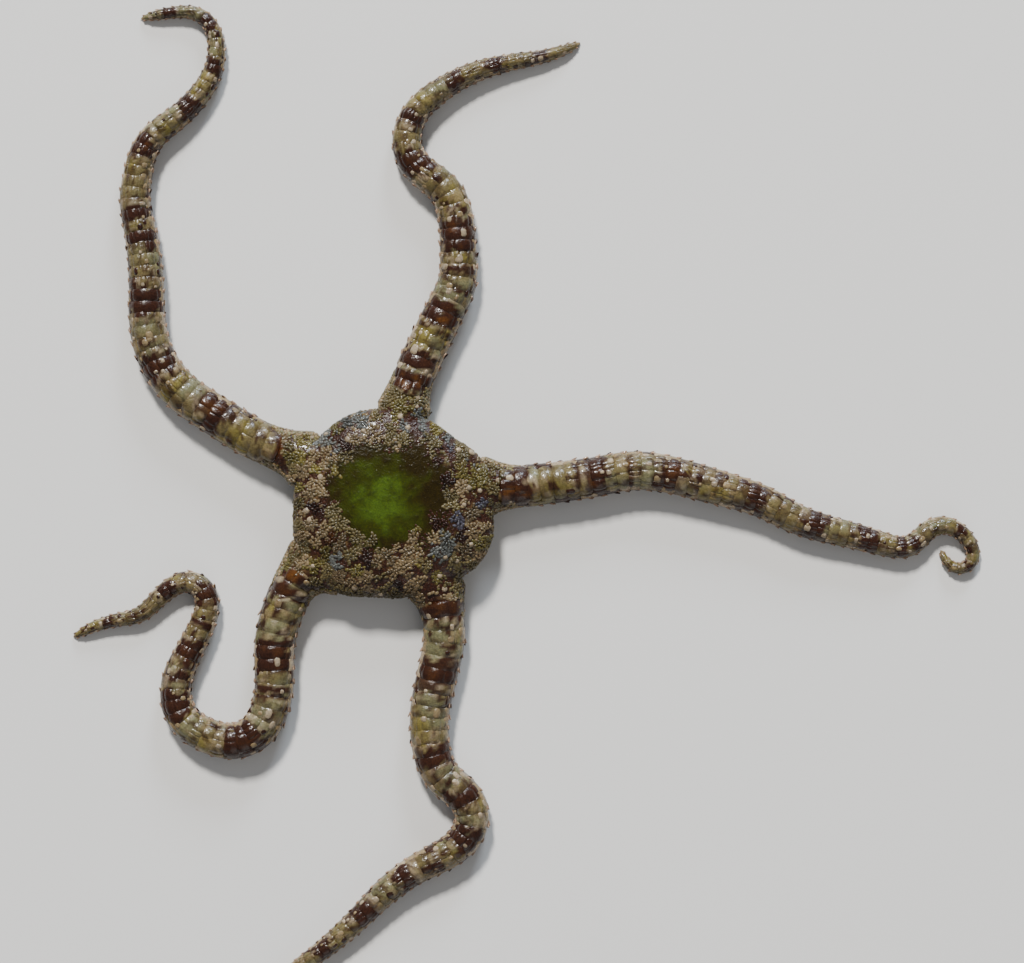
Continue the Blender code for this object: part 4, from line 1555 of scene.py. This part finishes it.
@dataclass
class Mouth:
    """The five jaws with their papillae, and the shields round them."""

    jaw_from: float = 0.42
    jaw_corner: float = 2.72  # radius that a jaw's outer corners reach, at the wall of the mouth
    jaw_heel: float = 2.6
    jaw_low: float = 0.14
    jaw_high: float = 1.12  # inside the roof of the mouth
    slit: float = 0.34
    shield_from: float = 2.85
    shield_to: float = 4.35
    shield_width: float = 1.3
    shield_low: float = 0.12
    shield_high: float = 1.0  # inside the disc, like the tops of the small shields beside it
    shield_base: float = 1.42  # how much wider a shield is there, so that it spreads into the belly
    small_shield_low: float = 0.2
    small_shield_high: float = 0.82
    papillae: int = 5

    def turn_to(self, points: Array, azimuth: float) -> Array:
        """Points laid out along +X from the disc's middle, turned to an azimuth."""
        turn = math.radians(azimuth)
        x = DISC.centre[0] + points[:, 0] * math.cos(turn) - points[:, 1] * math.sin(turn)
        y = DISC.centre[1] + points[:, 0] * math.sin(turn) + points[:, 1] * math.cos(turn)
        return np.stack([x, y, points[:, 2]], axis=1)

    def corner_at(self, half_angle: float) -> float:
        """How far out along its middle line a jaw's outer corners are."""
        return self.jaw_corner * math.cos(math.radians(half_angle))

    def jaw(self, half_angle: float) -> bpy.types.Object:
        """Two half jaws that meet in a groove, on the bench along +X."""
        slope, side = math.tan(math.radians(half_angle)), self.slit / 2 / math.cos(math.radians(half_angle))
        heel_at = self.corner_at(half_angle)
        heel, tip = heel_at * slope - side, max(self.jaw_from * slope - side, 0.1)
        tall = self.jaw_high - self.jaw_low
        bench = Bench(bpy.ops.mesh.primitive_cube_add, size=1, location=(0.5, 0.5, 0.5))
        bench.pick(lambda p: True).resize(x=heel_at - self.jaw_from, z=tall)
        bench.pick(lambda p: p.x > 0.1 and p.y > 0.5).resize(y=heel, at=(0, 0, 0))
        bench.pick(lambda p: p.x < 0.1 and p.y > 0.5).resize(y=tip, at=(0, 0, 0))
        bench.pick(lambda p: p.x > 0.1 and p.y < 0.05).move(x=self.jaw_heel - heel_at)
        bench.pick(lambda p: True, "EDGE").bevel(0.07, 3)
        bench.pick(lambda p: True).move(x=self.jaw_from, z=self.jaw_low)
        piece = bench.done()
        modifier = piece.modifiers.new("other_half", "MIRROR")
        modifier.use_axis, modifier.use_mirror_merge = (False, True, False), False
        bpy.context.view_layer.objects.active = piece
        bpy.ops.object.modifier_apply(modifier=modifier.name)
        return piece

    def shield(self) -> bpy.types.Object:
        """An egg-shaped plate with a domed underside, on the bench along +X."""
        middle, half = (self.shield_from + self.shield_to) / 2, (self.shield_to - self.shield_from) / 2
        tall = self.shield_high - self.shield_low
        bench = Bench(bpy.ops.mesh.primitive_cylinder_add, vertices=24, radius=1, depth=tall, end_fill_type="NGON")
        bench.pick(lambda p: True).resize(x=half, y=self.shield_width / 2)
        bench.pick(lambda p: p.x > 0).resize(y=1.12)
        bench.pick(lambda p: p.z < 0, "FACE").resize(x=0.94, y=0.94)
        for share in (0.82, 0.55):
            bench.extrude(z=0.0).resize(x=share, y=share)
        bench.pick(lambda p: p.z < 0 and math.hypot(p.x / half, p.y) > 0.75).move(z=0.06)
        bench.pick(lambda p: p.z > 0).resize(x=self.shield_base, y=self.shield_base)
        bench.pick(lambda p: True).move(x=middle, z=(self.shield_low + self.shield_high) / 2)
        return bench.done()

    def place(self, piece: bpy.types.Object, name: str, azimuth: float, node: str, slot: str,
              material: bpy.types.Material) -> None:
        """Turn a piece from the bench to its place under the disc."""
        points = np.array([vertex.co for vertex in piece.data.vertices])
        moved = self.turn_to(points, azimuth) * MM
        piece.data.vertices.foreach_set("co", moved.astype(np.float32).ravel())
        piece.name = piece.data.name = name
        piece.data.materials.clear()
        piece.data.materials.append(material)
        piece.data.shade_smooth()
        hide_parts(node)
        settle(piece)

    def build(self, jaw_paint: bpy.types.Material, shield_paint: bpy.types.Material) -> None:
        """Make the jaws, the shields and the papillae.

        Args:
            jaw_paint: the jaws' finish.
            shield_paint: the shields' finish.
        """
        peg, pebble = peg_spine(), pebble_plate()
        papillae, adoral = Coat("mouth_papillae"), Coat("adoral_shields")
        draw = random.Random(55)
        for name, middle, half in DISC.gaps():
            self.place(self.jaw(half), f"mouth_jaw_{name}", middle, f"jaw_{name}", "jaw_plates", jaw_paint)
            self.place(self.shield(), f"shield_{name}", middle, f"oral_shield_{name}", "oral_shields", shield_paint)
            slope = math.radians(half)
            for side in (-1, 1):
                for number in range(self.papillae):
                    span = self.corner_at(half) - self.jaw_from - 0.3
                    reach = self.jaw_from + 0.12 + span * number / (self.papillae - 1)
                    edge = reach * math.tan(slope) - self.slit / 2 / math.cos(slope)
                    x, y, z = peg.points.T
                    thick, length = 0.09 * draw.uniform(0.9, 1.15), 0.2
                    local = np.stack([x * thick, z * length - 0.08, y * thick], 1)
                    local[:, 1] *= side
                    local += (reach, side * max(edge, 0.08), self.jaw_low + 0.08)
                    root = UNWRAP.disc(self.turn_to(local[:1], middle)[0], False)
                    papillae.add(peg, self.turn_to(local, middle), Pigment.CREAM.linear(), root)
                x, y, z = pebble.points.T
                up = self.small_shield_high - z * (self.small_shield_high - self.small_shield_low)
                local = np.stack([2.72 + x * 0.17 + y * 0.16, side * (0.5 + 0.42 * y), up], 1)
                root = UNWRAP.disc(self.turn_to(local[:1], middle)[0], False)
                adoral.add(pebble, self.turn_to(local, middle), Pigment.CREAM.linear(), root)
        papillae.build("jaw_plates", jaw_paint)
        adoral.build("oral_shields", shield_paint)


# ---------------------------------------------------------------- the studio


@dataclass(frozen=True)
class Lamp:
    """A soft square light that looks at the animal."""

    name: str
    azimuth: float
    elevation: float
    distance: float
    size: float
    power: float
    colour: Colour


@dataclass
class Studio:
    """A plain pale floor, soft light and the camera."""

    floor_size: float = 900.0
    floor_colour: Colour = (0.66, 0.645, 0.62)
    aim: tuple[float, float, float] = (-0.76, 2.20, 1.5)
    frame_width: float = 57.34
    lens: float = 100.0
    sensor: float = 36.0
    sky: Colour = (0.90, 0.94, 1.0)
    sky_strength: float = 0.27
    lamps: tuple[Lamp, ...] = (
        Lamp("key", 345, 42, 1440, 200, 40.0, (1.0, 0.985, 0.955)),
        Lamp("window", 15, 20, 1440, 360, 20.0, (0.74, 0.86, 1.0)),
        Lamp("fill", 165, 30, 1500, 900, 4.0, (1.0, 0.96, 0.92)),
    )

    def floor(self) -> None:
        """The floor that the animal lies on."""
        bpy.ops.object.select_all(action="DESELECT")
        bpy.ops.mesh.primitive_plane_add(size=self.floor_size * MM)
        plane = bpy.context.object
        plane.name = "floor"
        paint = Paint("floor")
        grain = paint.cloud(6.0)
        plane.data.materials.append(paint.finish(
            Base_Color=paint.blend(grain * 0.06, self.floor_colour, (0.5, 0.48, 0.46)), Roughness=0.55))

    def light(self, lamp: Lamp) -> None:
        """One soft light."""
        turn, rise = math.radians(lamp.azimuth), math.radians(lamp.elevation)
        towards = Vector((math.sin(turn) * math.cos(rise), math.cos(turn) * math.cos(rise), math.sin(rise)))
        data = bpy.data.lights.new(lamp.name, "AREA")
        data.shape, data.size = "SQUARE", lamp.size * MM
        data.energy, data.color = lamp.power, lamp.colour
        made = bpy.data.objects.new(lamp.name, data)
        made.location = (Vector(self.aim) + towards * lamp.distance) * MM
        made.rotation_euler = towards.to_track_quat("Z", "Y").to_euler()
        bpy.context.scene.collection.objects.link(made)

    def camera(self) -> None:
        """The camera, which looks straight down."""
        data = bpy.data.cameras.new("camera")
        data.lens, data.sensor_width = self.lens, self.sensor
        data.clip_start, data.clip_end = 0.01, 10.0
        distance = self.frame_width * self.lens / self.sensor
        made = bpy.data.objects.new("camera", data)
        made.location = (Vector(self.aim) + Vector((0, 0, distance))) * MM
        bpy.context.scene.collection.objects.link(made)
        bpy.context.scene.camera = made

    def build(self) -> None:
        """Set up the whole studio."""
        self.floor()
        for lamp in self.lamps:
            self.light(lamp)
        self.camera()
        world = bpy.data.worlds.new("studio")
        world.use_nodes = True
        sky = world.node_tree.nodes["Background"]
        sky.inputs["Color"].default_value = (*self.sky, 1.0)
        sky.inputs["Strength"].default_value = self.sky_strength
        bpy.context.scene.world = world


def main() -> None:
    """Build the animal's looks and the studio."""
    logging.basicConfig(level=logging.INFO, format="%(name)s %(message)s")
    living = LivingFinish("living_skin").make()
    skin = Skin().build(living)
    for index in range(len(ARMS)):
        ArmCoat(index).build(living)
    DiscCoat().build(skin, living)
    shield_lime = LimeFinish("shield_lime", (0.17, 0.135, 0.068), (0.07, 0.05, 0.022), (0.27, 0.22, 0.125))
    Mouth().build(LimeFinish("jaw_lime").make(), shield_lime.make())
    Studio().build()


if __name__ == "__main__":
    main()
